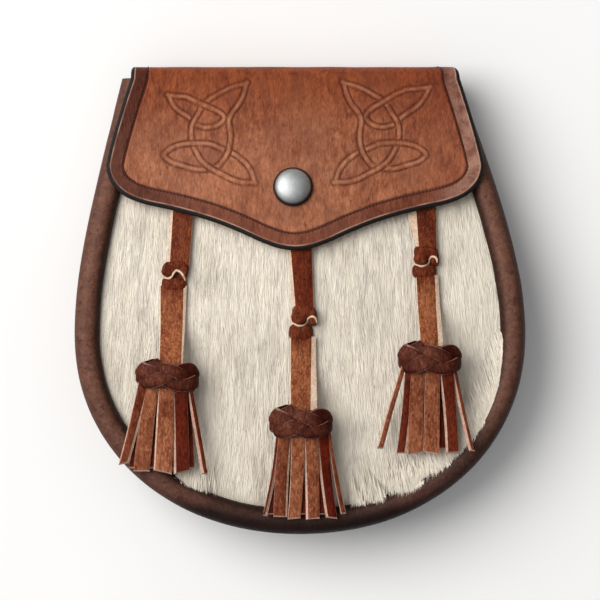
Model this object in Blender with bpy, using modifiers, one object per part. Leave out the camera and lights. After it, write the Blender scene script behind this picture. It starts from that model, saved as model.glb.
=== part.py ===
"""A sporran pouch lying on its back, in metres, +Z up.

The front of the pouch faces up (+Z) and its closed top, where the back folds over the mouth
into the flap, points along +Y. The origin is under the middle of the pouch, on the surface
that it rests on. A leather strip, the gusset, runs round both sides and the bottom and rolls
over the edges of the back and of the hair hide in front. Three tassels hang on straps that
are sewn to the hide under the flap.
"""

import math

import bmesh
import bpy
import numpy as np
from mathutils import Vector

# The whole pouch
BODY_WIDTH = 0.171
TOTAL_HEIGHT = 0.178
WIDEST_HEIGHT = 0.0761
MOUTH_WIDTH = 0.1284
DEPTH_LOW = 0.032
DEPTH_MOUTH = 0.0214
LEAN = 0.0038
CLEARANCE = 0.0003

# Exponents of the lower outline, the lean and the bend of the sides
ROUND_POWER = 2.1
LEAN_POWER = 1.7
SIDE_BEND = 0.45

# The gusset
GUSSET_WALL = 0.002
GUSSET_WAIST = 0.0012
GUSSET_END_DROP = 0.0046
ROLL_RADIUS = 0.00475

# The back with its flap
SHEET_WALL = 0.0024
BACK_RECESS = 0.007
FLAP_WIDTH = 0.1436
FLAP_TOP_WIDTH = 0.1252
FLAP_DROP = 0.0692
FLAP_SHIFT = -0.0018
FLAP_SIDE_POWER = 1.2
UNDER_FLAP = 0.0027
FLAP_EASING = 0.0015

# The lower edge of the flap: share of its half width, share of its drop
FLAP_EDGE = (
    (0.0, 1.0),
    (0.08, 0.990),
    (0.16, 0.963),
    (0.285, 0.902),
    (0.412, 0.851),
    (0.54, 0.813),
    (0.665, 0.780),
    (0.794, 0.751),
    (0.885, 0.716),
    (0.955, 0.660),
    (1.0, 0.540),
)

# The hair hide in front, its nap laid flat
HIDE_WALL = 0.003
HIDE_DOME = 0.007
DOME_POWER = 5
MOUTH_DROP = 0.0124
MOUTH_FLATNESS = 0.35

# The press stud
SNAP_RADIUS = 0.0075
SNAP_DOME = 0.0034
SNAP_RIM = 0.001
SNAP_SHANK = 0.0017
SNAP_FLANGE = 0.0036
SNAP_RISE = 0.0232
SNAP_SHIFT = -0.0009
SNAP_CLEARANCE = 0.0004

# The belt loops
LOOP_SPACING = 0.064
LOOP_LEVEL = 0.030
LOOP_WIDTH = 0.022
LOOP_LENGTH = 0.054
LOOP_TAB = 0.009
LOOP_BEND = 0.005
LOOP_WALL = 0.0016
LOOP_FLOOR_GAP = 0.0008

# Tassel straps
STRAP_WIDTH = 0.0084
STRAP_WALL = 0.0018
STRAP_HIDDEN = 0.014
STRAP_RISE_LENGTH = 0.012
KNOT_LENGTH = 0.0125

# A strap along its knot: share of the knot's length from its middle, share of the strap's
# width, share of its wall
KNOT_SECTIONS = (
    (-0.5, 1.0, 1.0),
    (-0.36, 1.22, 2.0),
    (-0.05, 1.32, 2.5),
    (0.3, 1.25, 2.2),
    (0.5, 1.08, 1.0),
)

# Tassel heads and their fringes
HEAD_WIDTH = 0.0236
HEAD_LENGTH = 0.0148
HEAD_THICKNESS = 0.0115
FRINGE_LENGTH = 0.0295
FRINGE_TUCK = 0.003
FRINGE_TOP_WIDTH = 0.0195
FRINGE_WALL = 0.0016
FRINGE_GAP = 0.0004
FRONT_STRIPS = 6
BACK_STRIPS = 5

# A tassel head from top to bottom: share of its length, of its width and of its thickness
HEAD_SECTIONS = (
    (0.0, 0.50, 0.50),
    (0.10, 0.78, 0.80),
    (0.30, 0.97, 0.97),
    (0.50, 1.0, 1.0),
    (0.72, 0.95, 0.97),
    (0.90, 0.87, 0.88),
    (1.0, 0.74, 0.70),
)

# The tassels: name, strap's top and head as shares of half the body's width, the head's top
# as a share of the total height, the knot as a share of the strap's length, the fringe's
# width below as a share of the head's width, and its sideways swing as a share of the same
TASSELS = (
    ("left", -0.523, -0.582, 0.378, 0.44, 1.44, -0.09),
    ("middle", 0.004, 0.004, 0.284, 0.51, 1.34, 0.04),
    ("right", 0.556, 0.571, 0.417, 0.37, 1.46, -0.01),
)

# Fineness of the faceted surfaces
ROLL_STEPS = 5
SIDE_STATIONS = 8
BASE_STATIONS = 12
BACK_ROWS = 11
FOLD_ROWS = 8
FLAP_ROWS = 8
HIDE_ROWS = 12
HEAD_SIDES = 14
FRINGE_ROWS = 5
TURNED_STEPS = 20

BASE_LEVEL = -TOTAL_HEIGHT / 2
TOP_LEVEL = TOTAL_HEIGHT / 2
END_LEVEL = TOP_LEVEL - GUSSET_END_DROP
WIDEST_LEVEL = BASE_LEVEL + WIDEST_HEIGHT
MOUTH_LEVEL = END_LEVEL - MOUTH_DROP
ROLL_CREST = ROLL_RADIUS * math.cos(math.pi / (2 * ROLL_STEPS))
LIP_INSET = 2 * ROLL_RADIUS
RIM_INSET = GUSSET_WALL + GUSSET_WAIST + CLEARANCE


# Shapes that the pieces share


def ease(share):
    """A smooth step: three times the square of the share less twice its cube."""
    share = np.clip(share, 0.0, 1.0)
    return share * share * (3 - 2 * share)


def soft_max(first, second):
    """The larger of two heights, rounded where they meet."""
    return (first + second + np.hypot(first - second, FLAP_EASING)) / 2


def rise_above_widest(level):
    """Share of the way from the widest level up to the gusset's ends."""
    return np.clip((level - WIDEST_LEVEL) / (END_LEVEL - WIDEST_LEVEL), 0.0, None)


def half_width(level, inset):
    """Half the width at a level, inside the outline by the inset.

    The sides run in towards the mouth along a hyperbola: the narrowing is the hypotenuse of
    the bend and the rise, less the bend, over the same at the gusset's ends.
    """
    rise = rise_above_widest(level)
    full = math.hypot(SIDE_BEND, 1.0) - SIDE_BEND
    narrowing = (np.hypot(SIDE_BEND, rise) - SIDE_BEND) / full
    most = (BODY_WIDTH - MOUTH_WIDTH) / 2
    slope = most * rise / np.hypot(SIDE_BEND, rise) / full / (END_LEVEL - WIDEST_LEVEL)
    return BODY_WIDTH / 2 - most * narrowing - inset * np.hypot(1.0, slope)


def base_of_column(share, inset):
    """Lowest level of the outline at a share of its half width, a superellipse's arc."""
    arc = np.clip(1 - np.abs(share) ** ROUND_POWER, 0.0, 1.0) ** (1 / ROUND_POWER)
    return WIDEST_LEVEL - (WIDEST_HEIGHT - inset) * arc


def lean(level):
    """How far the soft body leans to the left, growing from the widest level upwards."""
    return -LEAN * rise_above_widest(level) ** LEAN_POWER


def crest(level):
    """Height of the front roll's crest, lower towards the mouth."""
    return DEPTH_LOW - (DEPTH_LOW - DEPTH_MOUTH) * ease(rise_above_widest(level))


def hide_top(across, level):
    """Height of the laid nap: the rim under the roll and a dome inside the roll's lip.

    The dome is one less the square of the share of half width, times one less the fifth
    power of the share of the way down, and it is flatter towards the mouth.
    """
    side = np.clip((across - lean(level)) / half_width(level, LIP_INSET), -1.0, 1.0)
    run = MOUTH_LEVEL - base_of_column(side, LIP_INSET)
    down = np.clip((MOUTH_LEVEL - level) / run, 0.0, 1.0)
    dome = (1 - side**2) * (1 - down**DOME_POWER) * (1 - MOUTH_FLATNESS * (1 - down) ** 3)
    return crest(level) - ROLL_CREST - CLEARANCE + HIDE_DOME * dome


def lie_height(across, level):
    """Height at which a thing lies on the front: clear of the nap and of the roll."""
    return soft_max(crest(level), hide_top(across, level)) + CLEARANCE


def flap_half_width(level):
    """Half the flap's width, which grows from the fold down to where its corners start."""
    widest = TOP_LEVEL - FLAP_EDGE[-1][1] * FLAP_DROP
    rise = np.clip((level - widest) / (END_LEVEL - widest), 0.0, 1.0)
    return FLAP_WIDTH / 2 - (FLAP_WIDTH - FLAP_TOP_WIDTH) / 2 * rise**FLAP_SIDE_POWER


def flap_edge(share):
    """Level of the flap's lower edge at a share of its half width, straight between rows."""
    widths, drops = np.array(FLAP_EDGE).T
    return TOP_LEVEL - FLAP_DROP * np.interp(np.abs(share), widths, drops)


def flap_underside(across, level):
    """Height of the flap's lower face: over the rolls, and over the hide by a strap's room."""
    seat = crest(level) + CLEARANCE
    lift = soft_max(seat, hide_top(across, level) + UNDER_FLAP) - seat
    return seat + lift * ease((END_LEVEL - level) / MOUTH_DROP)


# Making the objects

for old in list(bpy.context.scene.objects):
    bpy.data.objects.remove(old, do_unlink=True)

model = bpy.data.collections.new("sporran_pouch")
cutters = bpy.data.collections.new("cutters")
bpy.context.scene.collection.children.link(model)
bpy.context.scene.collection.children.link(cutters)


def finish(name, colour, roughness, metallic=0.0):
    """A plain surface: colour, roughness and metallic value."""
    material = bpy.data.materials.new(name)
    material.use_nodes = True
    shader = material.node_tree.nodes["Principled BSDF"]
    shader.inputs["Base Color"].default_value = (*colour, 1.0)
    shader.inputs["Roughness"].default_value = roughness
    shader.inputs["Metallic"].default_value = metallic
    return material


TAN_LEATHER = finish("tan_leather", (0.31, 0.115, 0.06), 0.42)
DARK_LEATHER = finish("dark_leather", (0.12, 0.06, 0.042), 0.4)
STRAP_LEATHER = finish("strap_leather", (0.24, 0.075, 0.035), 0.5)
FRINGE_LEATHER = finish("fringe_leather", (0.27, 0.10, 0.057), 0.5)
HAIR_HIDE = finish("hair_hide", (0.72, 0.64, 0.53), 0.8)
NICKEL = finish("satin_nickel", (0.55, 0.55, 0.54), 0.32, 1.0)


def add_mesh(name, points, faces, material, collection=model):
    """A mesh object made of points and faces."""
    mesh = bpy.data.meshes.new(name)
    mesh.from_pydata(points, [], faces)
    mesh.materials.append(material)
    made = bpy.data.objects.new(name, mesh)
    collection.objects.link(made)
    return made


def add_sheet(name, grid, wall, material):
    """An open grid of rows and columns, thickened away from the side that its faces face."""
    rows, columns, _ = grid.shape
    place = np.arange(rows * columns).reshape(rows, columns)
    corners = (place[:-1, :-1], place[:-1, 1:], place[1:, 1:], place[1:, :-1])
    faces = np.stack(corners, axis=-1).reshape(-1, 4)
    made = add_mesh(name, grid.reshape(-1, 3).tolist(), faces.tolist(), material)
    work = bmesh.new()
    work.from_mesh(made.data)
    bmesh.ops.remove_doubles(work, verts=work.verts, dist=0.000001)
    work.to_mesh(made.data)
    work.free()
    thicken = made.modifiers.new("wall", "SOLIDIFY")
    thicken.thickness = wall
    thicken.offset = -1
    thicken.use_even_offset = True
    made.data.shade_smooth()
    return made


def add_loft(name, rings, material, collection=model):
    """A closed body through rings of as many points each, with flat ends."""
    count, sides, _ = rings.shape
    place = np.arange(count * sides).reshape(count, sides)
    turned = np.roll(place, -1, axis=1)
    corners = (place[:-1], turned[:-1], turned[1:], place[1:])
    faces = np.stack(corners, axis=-1).reshape(-1, 4).tolist()
    faces.append(place[0].tolist())
    faces.append(place[-1].tolist())
    made = add_mesh(name, rings.reshape(-1, 3).tolist(), faces, material, collection)
    work = bmesh.new()
    work.from_mesh(made.data)
    bmesh.ops.recalc_face_normals(work, faces=work.faces)
    work.to_mesh(made.data)
    work.free()
    made.data.shade_smooth()
    made.data.set_sharp_from_angle(angle=math.radians(50))
    return made


def make_cutter(made):
    """Hides an object that only cuts or joins others."""
    made.hide_render = True
    made.display_type = "WIRE"
    return made


def add_boolean(made, other, operation):
    """Cuts another object out of this one, or joins it on."""
    change = made.modifiers.new(other.name, "BOOLEAN")
    change.operation = operation
    change.object = other
    change.solver = "EXACT"


# The back and flap, one piece of leather


def columns_across():
    """Shares of the half width, from the left edge to the right one, as in the flap's table."""
    half = [row[0] for row in FLAP_EDGE]
    return np.array([-share for share in reversed(half[1:])] + half)


def back_rows():
    """The back's inner face, from its round lower edge up to the gusset's ends."""
    share = columns_across()[None, :]
    down = np.linspace(1.0, 0.0, BACK_ROWS + 1)[:, None]
    level = END_LEVEL + down * (base_of_column(share, RIM_INSET) - END_LEVEL)
    across = share * half_width(level, RIM_INSET) + lean(level)
    height = np.full(level.shape, BACK_RECESS + SHEET_WALL)
    return np.stack((across, level, height), axis=-1)


def fold_rows():
    """The fold's inner face, half an ellipse from the back round to the flap."""
    share = columns_across()[None, :]
    turn = np.linspace(0.0, math.pi, FOLD_ROWS + 1)[1:-1, None]
    low = BACK_RECESS + SHEET_WALL
    high = crest(END_LEVEL) + CLEARANCE
    level = END_LEVEL + (GUSSET_END_DROP - SHEET_WALL) * np.sin(turn) + 0 * share
    height = (low + high) / 2 - (high - low) / 2 * np.cos(turn) + 0 * share
    way = ease(turn / math.pi)
    reach = half_width(END_LEVEL, RIM_INSET) * (1 - way) + FLAP_TOP_WIDTH / 2 * way
    across = share * reach + lean(END_LEVEL) * (1 - way) + FLAP_SHIFT * way
    return np.stack((across, level, height), axis=-1)


def flap_rows():
    """The flap's lower face, from the fold down to its shaped edge."""
    share = columns_across()[None, :]
    down = np.linspace(0.0, 1.0, FLAP_ROWS + 1)[:, None]
    level = END_LEVEL + down * (flap_edge(share) - END_LEVEL)
    across = share * flap_half_width(level) + FLAP_SHIFT
    return np.stack((across, level, flap_underside(across, level)), axis=-1)


sheet_grid = np.concatenate((back_rows(), fold_rows(), flap_rows()))
back_and_flap = add_sheet("back_and_flap", sheet_grid, SHEET_WALL, TAN_LEATHER)


# The gusset, a strip with a roll along each edge


def gusset_stations():
    """Rows of side, level and turn, from the left end round the base to the right end.

    Above the widest level a station is a level. Below it a station is an angle of the
    superellipse, at which the level is left empty.
    """
    levels = np.linspace(END_LEVEL, WIDEST_LEVEL, SIDE_STATIONS + 1)[:-1]
    turns = np.linspace(0.0, math.pi / 2, BASE_STATIONS + 1)
    half = [(level, None) for level in levels] + [(None, turn) for turn in turns]
    left = [(-1, level, turn) for level, turn in half]
    right = [(1, level, turn) for level, turn in reversed(half[:-1])]
    return left + right


def outline_place(side, level, turn, inset):
    """Place on the outline moved in by the inset, at one station."""
    if turn is None:
        return side * half_width(level, inset) + lean(level), level + 0 * inset
    power = 2 / ROUND_POWER
    across = side * (BODY_WIDTH / 2 - inset) * math.cos(turn) ** power
    return across, WIDEST_LEVEL - (WIDEST_HEIGHT - inset) * math.sin(turn) ** power


def gusset_section(depth):
    """The strip cut across: insets and heights, once round, for a depth from crest to crest."""
    turn = np.linspace(0.0, math.pi, ROLL_STEPS + 1)
    thin = ROLL_RADIUS - GUSSET_WALL
    front = depth - ROLL_CREST
    lip = BACK_RECESS - CLEARANCE
    wall = np.array((2 / 3, 1 / 3))
    outside = (
        (ROLL_RADIUS * (1 - np.cos(turn[::-1])), front + ROLL_RADIUS * np.sin(turn[::-1])),
        (GUSSET_WAIST * np.sin(math.pi * wall), ROLL_CREST + (front - ROLL_CREST) * wall),
        (ROLL_RADIUS * (1 - np.cos(turn)), ROLL_CREST - ROLL_RADIUS * np.sin(turn)),
        (np.array([LIP_INSET]), np.array([lip])),
    )
    inside = (
        (np.array([LIP_INSET - GUSSET_WALL]), np.array([lip])),
        (ROLL_RADIUS - thin * np.cos(turn[::-1]), ROLL_CREST - thin * np.sin(turn[::-1])),
        (GUSSET_WALL + outside[1][0][::-1], outside[1][1][::-1]),
        (ROLL_RADIUS - thin * np.cos(turn), front + thin * np.sin(turn)),
    )
    insets = np.concatenate([part[0] for part in outside + inside])
    heights = np.concatenate([part[1] for part in outside + inside])
    return insets, heights


def gusset_rings():
    """The section at every station, with its depth from the crest there."""
    rings = []
    for side, level, turn in gusset_stations():
        depth = crest(WIDEST_LEVEL if level is None else level)
        insets, heights = gusset_section(float(depth))
        across, levels = outline_place(side, level, turn, insets)
        rings.append(np.stack((across, levels, heights), axis=-1))
    return np.stack(rings)


gusset = add_loft("gusset", gusset_rings(), DARK_LEATHER)


# The hair hide in front


def hide_grid():
    """The laid nap's surface, from the round lower rim up to the mouth's edge.

    The dome is a grid inside the roll's lip. A border goes round its sides and base, out to
    the rim under the roll, and meets itself at the widest level.
    """
    share = columns_across()[None, :]
    down = np.linspace(1.0, 0.0, HIDE_ROWS + 1)[:, None]
    level = MOUTH_LEVEL + down * (base_of_column(share, LIP_INSET) - MOUTH_LEVEL)
    across = share * half_width(level, LIP_INSET) + lean(level)
    base_across = share * half_width(WIDEST_LEVEL, RIM_INSET)
    across = np.concatenate((base_across, across))
    level = np.concatenate((base_of_column(share, RIM_INSET), level))
    side_level = level[:, :1]
    reach = half_width(side_level, RIM_INSET)
    left = lean(side_level) - reach
    right = lean(side_level) + reach
    across = np.concatenate((left, across, right), axis=1)
    level = np.concatenate((side_level, level, side_level), axis=1)
    return np.stack((across, level, hide_top(across, level)), axis=-1)


front_panel = add_sheet("front_panel", hide_grid(), HIDE_WALL, HAIR_HIDE)


# The press stud: a cap riveted through the flap, and a stud riveted through the hide


def snap_frame():
    """Where the stud's axis meets the flap's lower face, its direction and its run below."""
    across = FLAP_SHIFT + SNAP_SHIFT
    level = TOP_LEVEL - FLAP_DROP + SNAP_RISE
    step = SNAP_RADIUS / 2
    tilt_x = flap_underside(across + step, level) - flap_underside(across - step, level)
    tilt_y = flap_underside(across, level + step) - flap_underside(across, level - step)
    axis = Vector((-float(tilt_x), -float(tilt_y), 2 * step)).normalized()
    foot = float(flap_underside(across, level))
    room = (foot - float(hide_top(across, level))) * axis.z
    return Vector((across, level, foot)), axis, room


def add_turned(name, profile, place, axis, material):
    """A profile of radii and heights, turned about an axis by Screw."""
    points = [(radius, 0.0, height) for radius, height in profile]
    edges = [(i, i + 1) for i in range(len(points) - 1)]
    mesh = bpy.data.meshes.new(name)
    mesh.from_pydata(points, edges, [])
    mesh.materials.append(material)
    made = bpy.data.objects.new(name, mesh)
    model.objects.link(made)
    turn = made.modifiers.new("turn", "SCREW")
    turn.steps = TURNED_STEPS
    turn.render_steps = TURNED_STEPS
    turn.use_merge_vertices = True
    turn.merge_threshold = 0.00001
    turn.use_smooth_shade = True
    made.location = place
    made.rotation_euler = axis.to_track_quat("Z", "Y").to_euler()
    return made


snap_place, snap_axis, snap_room = snap_frame()
flange_wall = (snap_room - 3 * SNAP_CLEARANCE) / 2

cap_seat = SHEET_WALL + CLEARANCE
dome_turns = np.linspace(0.0, math.pi / 2, 6)
cap_profile = [
    (SNAP_RADIUS * math.sin(turn), cap_seat + SNAP_RIM + SNAP_DOME * math.cos(turn))
    for turn in dome_turns
]
cap_profile += [
    (SNAP_RADIUS, cap_seat),
    (SNAP_SHANK, cap_seat),
    (SNAP_SHANK, -SNAP_CLEARANCE),
    (SNAP_FLANGE, -SNAP_CLEARANCE),
    (SNAP_FLANGE, -SNAP_CLEARANCE - flange_wall),
    (0.0, -SNAP_CLEARANCE - flange_wall),
]
snap_cap = add_turned("snap_cap", cap_profile, snap_place, snap_axis, NICKEL)

hide_seat = -snap_room
stud_profile = [
    (0.0, hide_seat + SNAP_CLEARANCE + flange_wall),
    (SNAP_FLANGE, hide_seat + SNAP_CLEARANCE + flange_wall),
    (SNAP_FLANGE, hide_seat + SNAP_CLEARANCE),
    (SNAP_SHANK, hide_seat + SNAP_CLEARANCE),
    (SNAP_SHANK, hide_seat - HIDE_WALL - SNAP_CLEARANCE),
    (SNAP_FLANGE, hide_seat - HIDE_WALL - SNAP_CLEARANCE),
    (SNAP_FLANGE, hide_seat - HIDE_WALL - SNAP_CLEARANCE - SNAP_RIM),
    (0.0, hide_seat - HIDE_WALL - SNAP_CLEARANCE - SNAP_RIM),
]
snap_stud = add_turned("snap_stud", stud_profile, snap_place, snap_axis, NICKEL)

hole_run = 4 * (SHEET_WALL + HIDE_WALL + UNDER_FLAP)
bpy.ops.mesh.primitive_cylinder_add(
    vertices=TURNED_STEPS,
    radius=SNAP_SHANK + SNAP_CLEARANCE,
    depth=hole_run,
    location=snap_place,
    rotation=snap_axis.to_track_quat("Z", "Y").to_euler(),
)
snap_hole = make_cutter(bpy.context.object)
snap_hole.name = "snap_hole"
for holder in list(snap_hole.users_collection):
    holder.objects.unlink(snap_hole)
cutters.objects.link(snap_hole)


# The belt loops, strips sewn to the back at both ends


def add_belt_loop(name, across):
    """A strip whose middle stands off the back, thickened away from it."""
    top = BACK_RECESS - CLEARANCE
    low = LOOP_FLOOR_GAP + LOOP_WALL
    half = LOOP_LENGTH / 2
    bend = half - LOOP_TAB
    run = np.array((-half, -bend, -bend + LOOP_BEND / 2, -bend + LOOP_BEND))
    heights = np.array((top, top, (top + low) / 2, low))
    levels = LOOP_LEVEL + np.concatenate((run, -run[::-1]))
    heights = np.concatenate((heights, heights[::-1]))
    sides = across + np.array((-LOOP_WIDTH / 2, LOOP_WIDTH / 2))
    grid = np.stack(
        (
            np.repeat(sides[None, :], levels.size, axis=0),
            np.repeat(levels[:, None], 2, axis=1),
            np.repeat(heights[:, None], 2, axis=1),
        ),
        axis=-1,
    )
    return add_sheet(name, grid, LOOP_WALL, DARK_LEATHER)


add_belt_loop("belt_loop_left", -LOOP_SPACING / 2)
add_belt_loop("belt_loop_right", LOOP_SPACING / 2)


# The tassels: a knotted strap, and a head with its fringe fused on


def slab_rings(across, levels, widths, walls, underside):
    """Rings of four corners along a strip whose lower corners take the underside's height."""
    sides = across[:, None] + widths[:, None] * np.array((-0.5, 0.5))
    low = underside(sides, levels[:, None] + 0 * sides)
    rings_x = np.concatenate((sides, sides[:, ::-1]), axis=1)
    rings_z = np.concatenate((low, low[:, ::-1] + walls[:, None]), axis=1)
    return np.stack((rings_x, levels[:, None] + 0 * rings_x, rings_z), axis=-1)


def strap_line(top_share, head_share, head_top):
    """Ends of a strap's middle line: across and level under the flap, and at the head."""
    half = BODY_WIDTH / 2
    top = top_share * half
    share = (top - FLAP_SHIFT) / (FLAP_WIDTH / 2)
    start = float(flap_edge(share)) + STRAP_HIDDEN
    return (top, start), (head_share * half, head_top + CLEARANCE)


def add_strap(name, line, knot, axis_lift):
    """A strap from under the flap, thickened at its knot, and lifted to the head's middle."""
    (top, start), (foot, end) = line
    length = start - end
    spread = KNOT_LENGTH / length
    lift_from = 1 - STRAP_RISE_LENGTH / length
    rows = [(0.0, 1.0, 1.0), (knot / 2, 1.0, 1.0)]
    rows += [(knot + share * spread, width, wall) for share, width, wall in KNOT_SECTIONS]
    rows += [((knot + lift_from) / 2, 1.08, 1.0), (lift_from, 1.08, 1.0)]
    rows += [(1 - (1 - lift_from) / 2, 1.05, 1.0), (1.0, 1.0, 1.0)]
    shares, widths, walls = np.array(sorted(rows)).T
    levels = start - length * shares
    across = top + (foot - top) * shares
    lift = axis_lift * ease((shares - lift_from) / (1 - lift_from))

    def underside(side, level):
        return hide_top(side, level) + CLEARANCE + lift[:, None]

    rings = slab_rings(across, levels, STRAP_WIDTH * widths, STRAP_WALL * walls, underside)
    return add_loft(name, rings, STRAP_LEATHER)


def head_rings(across, head_top):
    """Ellipses down the head, each resting on the front."""
    shares, widths, walls = np.array(HEAD_SECTIONS).T
    turn = np.linspace(0.0, 2 * math.pi, HEAD_SIDES, endpoint=False)
    levels = head_top - HEAD_LENGTH * shares
    middle = head_axis(across, head_top)
    rings_x = across + HEAD_WIDTH / 2 * widths[:, None] * np.cos(turn)
    rings_z = middle + HEAD_THICKNESS / 2 * walls[:, None] * np.sin(turn)
    return np.stack((rings_x, levels[:, None] + 0 * rings_x, rings_z), axis=-1)


def head_axis(across, head_top):
    """Height of the head's middle line, so that its widest part clears what it lies on."""
    reach = HEAD_LENGTH * np.linspace(0.2, 0.8, 4)
    return float(np.max(lie_height(across, head_top - reach))) + HEAD_THICKNESS / 2


def add_strip(name, place, row, spread, swing):
    """One thong of the fringe, from inside the head down to its free end."""
    across, head_top, share = place
    levels_run = np.linspace(0.0, 1.0, FRINGE_ROWS + 1)
    length = FRINGE_LENGTH + FRINGE_TUCK
    levels = head_top - HEAD_LENGTH + FRINGE_TUCK - length * levels_run
    top_x = across + share * FRINGE_TOP_WIDTH
    low_x = across + HEAD_WIDTH * (share * spread + swing)
    middle = top_x + (low_x - top_x) * levels_run**1.2
    strips = FRONT_STRIPS if row > 0 else BACK_STRIPS
    widths = FRINGE_TOP_WIDTH + (HEAD_WIDTH * spread - FRINGE_TOP_WIDTH) * levels_run
    widths = widths / strips - FRINGE_GAP
    layer = FRINGE_WALL * (0.1 if row < 0 else 1.4)
    high = head_axis(across, head_top) + row * HEAD_THICKNESS / 4 - FRINGE_WALL / 2
    way = ease(levels_run / 0.8)[:, None]

    def underside(side, level):
        low = lie_height(side, level) + layer
        return np.maximum(high * (1 - way) + low * way, low)

    walls = np.full(levels.shape, FRINGE_WALL)
    rings = slab_rings(middle, levels, widths, walls, underside)
    return make_cutter(add_loft(name, rings, FRINGE_LEATHER, cutters))


def add_tassel(name, across, head_top, spread, swing):
    """A head with two rows of thongs, all joined to it."""
    head = add_loft("tassel_" + name, head_rings(across, head_top), FRINGE_LEATHER)
    for row, count in ((1, FRONT_STRIPS), (-1, BACK_STRIPS)):
        for number in range(count):
            share = (number + 0.5) / count - 0.5
            strip_name = f"thong_{name}_{'front' if row > 0 else 'rear'}_{number + 1}"
            strip = add_strip(strip_name, (across, head_top, share), row, spread, swing)
            add_boolean(head, strip, "UNION")
    return head


for name, top_share, head_share, top_level, knot, spread, swing in TASSELS:
    head_top = BASE_LEVEL + TOTAL_HEIGHT * top_level
    across = head_share * BODY_WIDTH / 2
    line = strap_line(top_share, head_share, head_top)
    lift = head_axis(across, head_top) - float(hide_top(across, head_top)) - STRAP_WALL
    add_strap("tassel_strap_" + name, line, knot, lift)
    add_tassel(name, across, head_top, spread, swing)

add_boolean(back_and_flap, snap_hole, "DIFFERENCE")
add_boolean(front_panel, snap_hole, "DIFFERENCE")
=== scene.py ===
"""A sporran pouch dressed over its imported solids: tooled leather, hair hide, tassels, press stud.

The pouch lies on its back with its front up (+Z) and its fold towards +Y, in metres.
"""

import math

import bmesh
import bpy
import numpy as np
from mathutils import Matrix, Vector


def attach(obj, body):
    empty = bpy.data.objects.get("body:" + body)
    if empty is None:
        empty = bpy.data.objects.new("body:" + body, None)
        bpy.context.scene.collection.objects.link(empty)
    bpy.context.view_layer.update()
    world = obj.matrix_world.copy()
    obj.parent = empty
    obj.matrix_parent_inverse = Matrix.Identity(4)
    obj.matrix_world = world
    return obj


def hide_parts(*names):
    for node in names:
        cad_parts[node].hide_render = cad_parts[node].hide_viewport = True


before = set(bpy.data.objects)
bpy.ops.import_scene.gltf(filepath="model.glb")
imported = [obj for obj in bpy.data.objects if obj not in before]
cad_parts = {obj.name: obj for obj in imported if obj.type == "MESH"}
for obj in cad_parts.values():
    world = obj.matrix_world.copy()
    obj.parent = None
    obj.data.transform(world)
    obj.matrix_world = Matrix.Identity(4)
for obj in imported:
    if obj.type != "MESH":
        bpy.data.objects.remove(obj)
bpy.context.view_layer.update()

# The camera
# It looks straight down, because the photograph faces the front of the pouch squarely.

LENS = 200.0
SENSOR = 36.0
FIELD_WIDTH = 0.2272
FIELD_MIDDLE = (0.0, -0.0002)
FRONT_PLANE = 0.030

camera_data = bpy.data.cameras.new("camera")
camera_data.lens = LENS
camera_data.sensor_width = SENSOR
camera = bpy.data.objects.new("camera", camera_data)
camera.location = (*FIELD_MIDDLE, FRONT_PLANE + FIELD_WIDTH * LENS / SENSOR)
bpy.context.scene.collection.objects.link(camera)
bpy.context.scene.camera = camera


# The gusset
# One strip of dark leather round both sides and the bottom. It is rolled over the edge of the
# back behind and of the hair hide in front, and each roll stands as a smooth round bead.

BODY_WIDTH = 0.171
TOTAL_HEIGHT = 0.178
WIDEST_HEIGHT = 0.0761
MOUTH_WIDTH = 0.1284
DEPTH_LOW = 0.032
DEPTH_MOUTH = 0.0214
LEAN = 0.0038
CLEARANCE = 0.0003
ROUND_POWER = 2.1
LEAN_POWER = 1.7
SIDE_BEND = 0.45
GUSSET_WALL = 0.002
GUSSET_WAIST = 0.0012
GUSSET_END_DROP = 0.0046
ROLL_RADIUS = 0.00475
ROLL_RISE = ROLL_RADIUS * math.cos(math.pi / 10)
BACK_RECESS = 0.007
BASE_LEVEL = -TOTAL_HEIGHT / 2
TOP_LEVEL = TOTAL_HEIGHT / 2
END_LEVEL = TOP_LEVEL - GUSSET_END_DROP
WIDEST_LEVEL = BASE_LEVEL + WIDEST_HEIGHT
LIP_INSET = 2 * ROLL_RADIUS
RIM_INSET = GUSSET_WALL + GUSSET_WAIST + CLEARANCE


def ease(share):
    """A smooth step: three times the square of the share less twice its cube."""
    share = np.clip(share, 0.0, 1.0)
    return share * share * (3 - 2 * share)


def rise_above_widest(level):
    """Share of the way from the widest level up to the gusset's ends."""
    return np.clip((level - WIDEST_LEVEL) / (END_LEVEL - WIDEST_LEVEL), 0.0, None)


def half_width(level, inset):
    """Half the width at a level, inside the outline by the inset.

    The sides narrow along a hyperbola: the hypotenuse of the bend and the rise, less the bend,
    over the same at the gusset's ends.
    """
    rise = rise_above_widest(level)
    full = math.hypot(SIDE_BEND, 1.0) - SIDE_BEND
    narrowing = (np.hypot(SIDE_BEND, rise) - SIDE_BEND) / full
    most = (BODY_WIDTH - MOUTH_WIDTH) / 2
    slope = most * rise / np.hypot(SIDE_BEND, rise) / full / (END_LEVEL - WIDEST_LEVEL)
    return BODY_WIDTH / 2 - most * narrowing - inset * np.hypot(1.0, slope)


def base_of_column(share, inset):
    """Lowest level of the outline at a share of its half width, a superellipse's arc."""
    arc = np.clip(1 - np.abs(share) ** ROUND_POWER, 0.0, 1.0) ** (1 / ROUND_POWER)
    return WIDEST_LEVEL - (WIDEST_HEIGHT - inset) * arc


def lean(level):
    """How far the soft body leans to the left, growing from the widest level upwards."""
    return -LEAN * rise_above_widest(level) ** LEAN_POWER


def crest(level):
    """Height of the front roll's crest, lower towards the mouth."""
    return DEPTH_LOW - (DEPTH_LOW - DEPTH_MOUTH) * ease(rise_above_widest(level))


# The chance values' lattice, and how many cells its middle is moved from its corner
LATTICE = (97, 89)
LATTICE_SHIFT = 40.0


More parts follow.
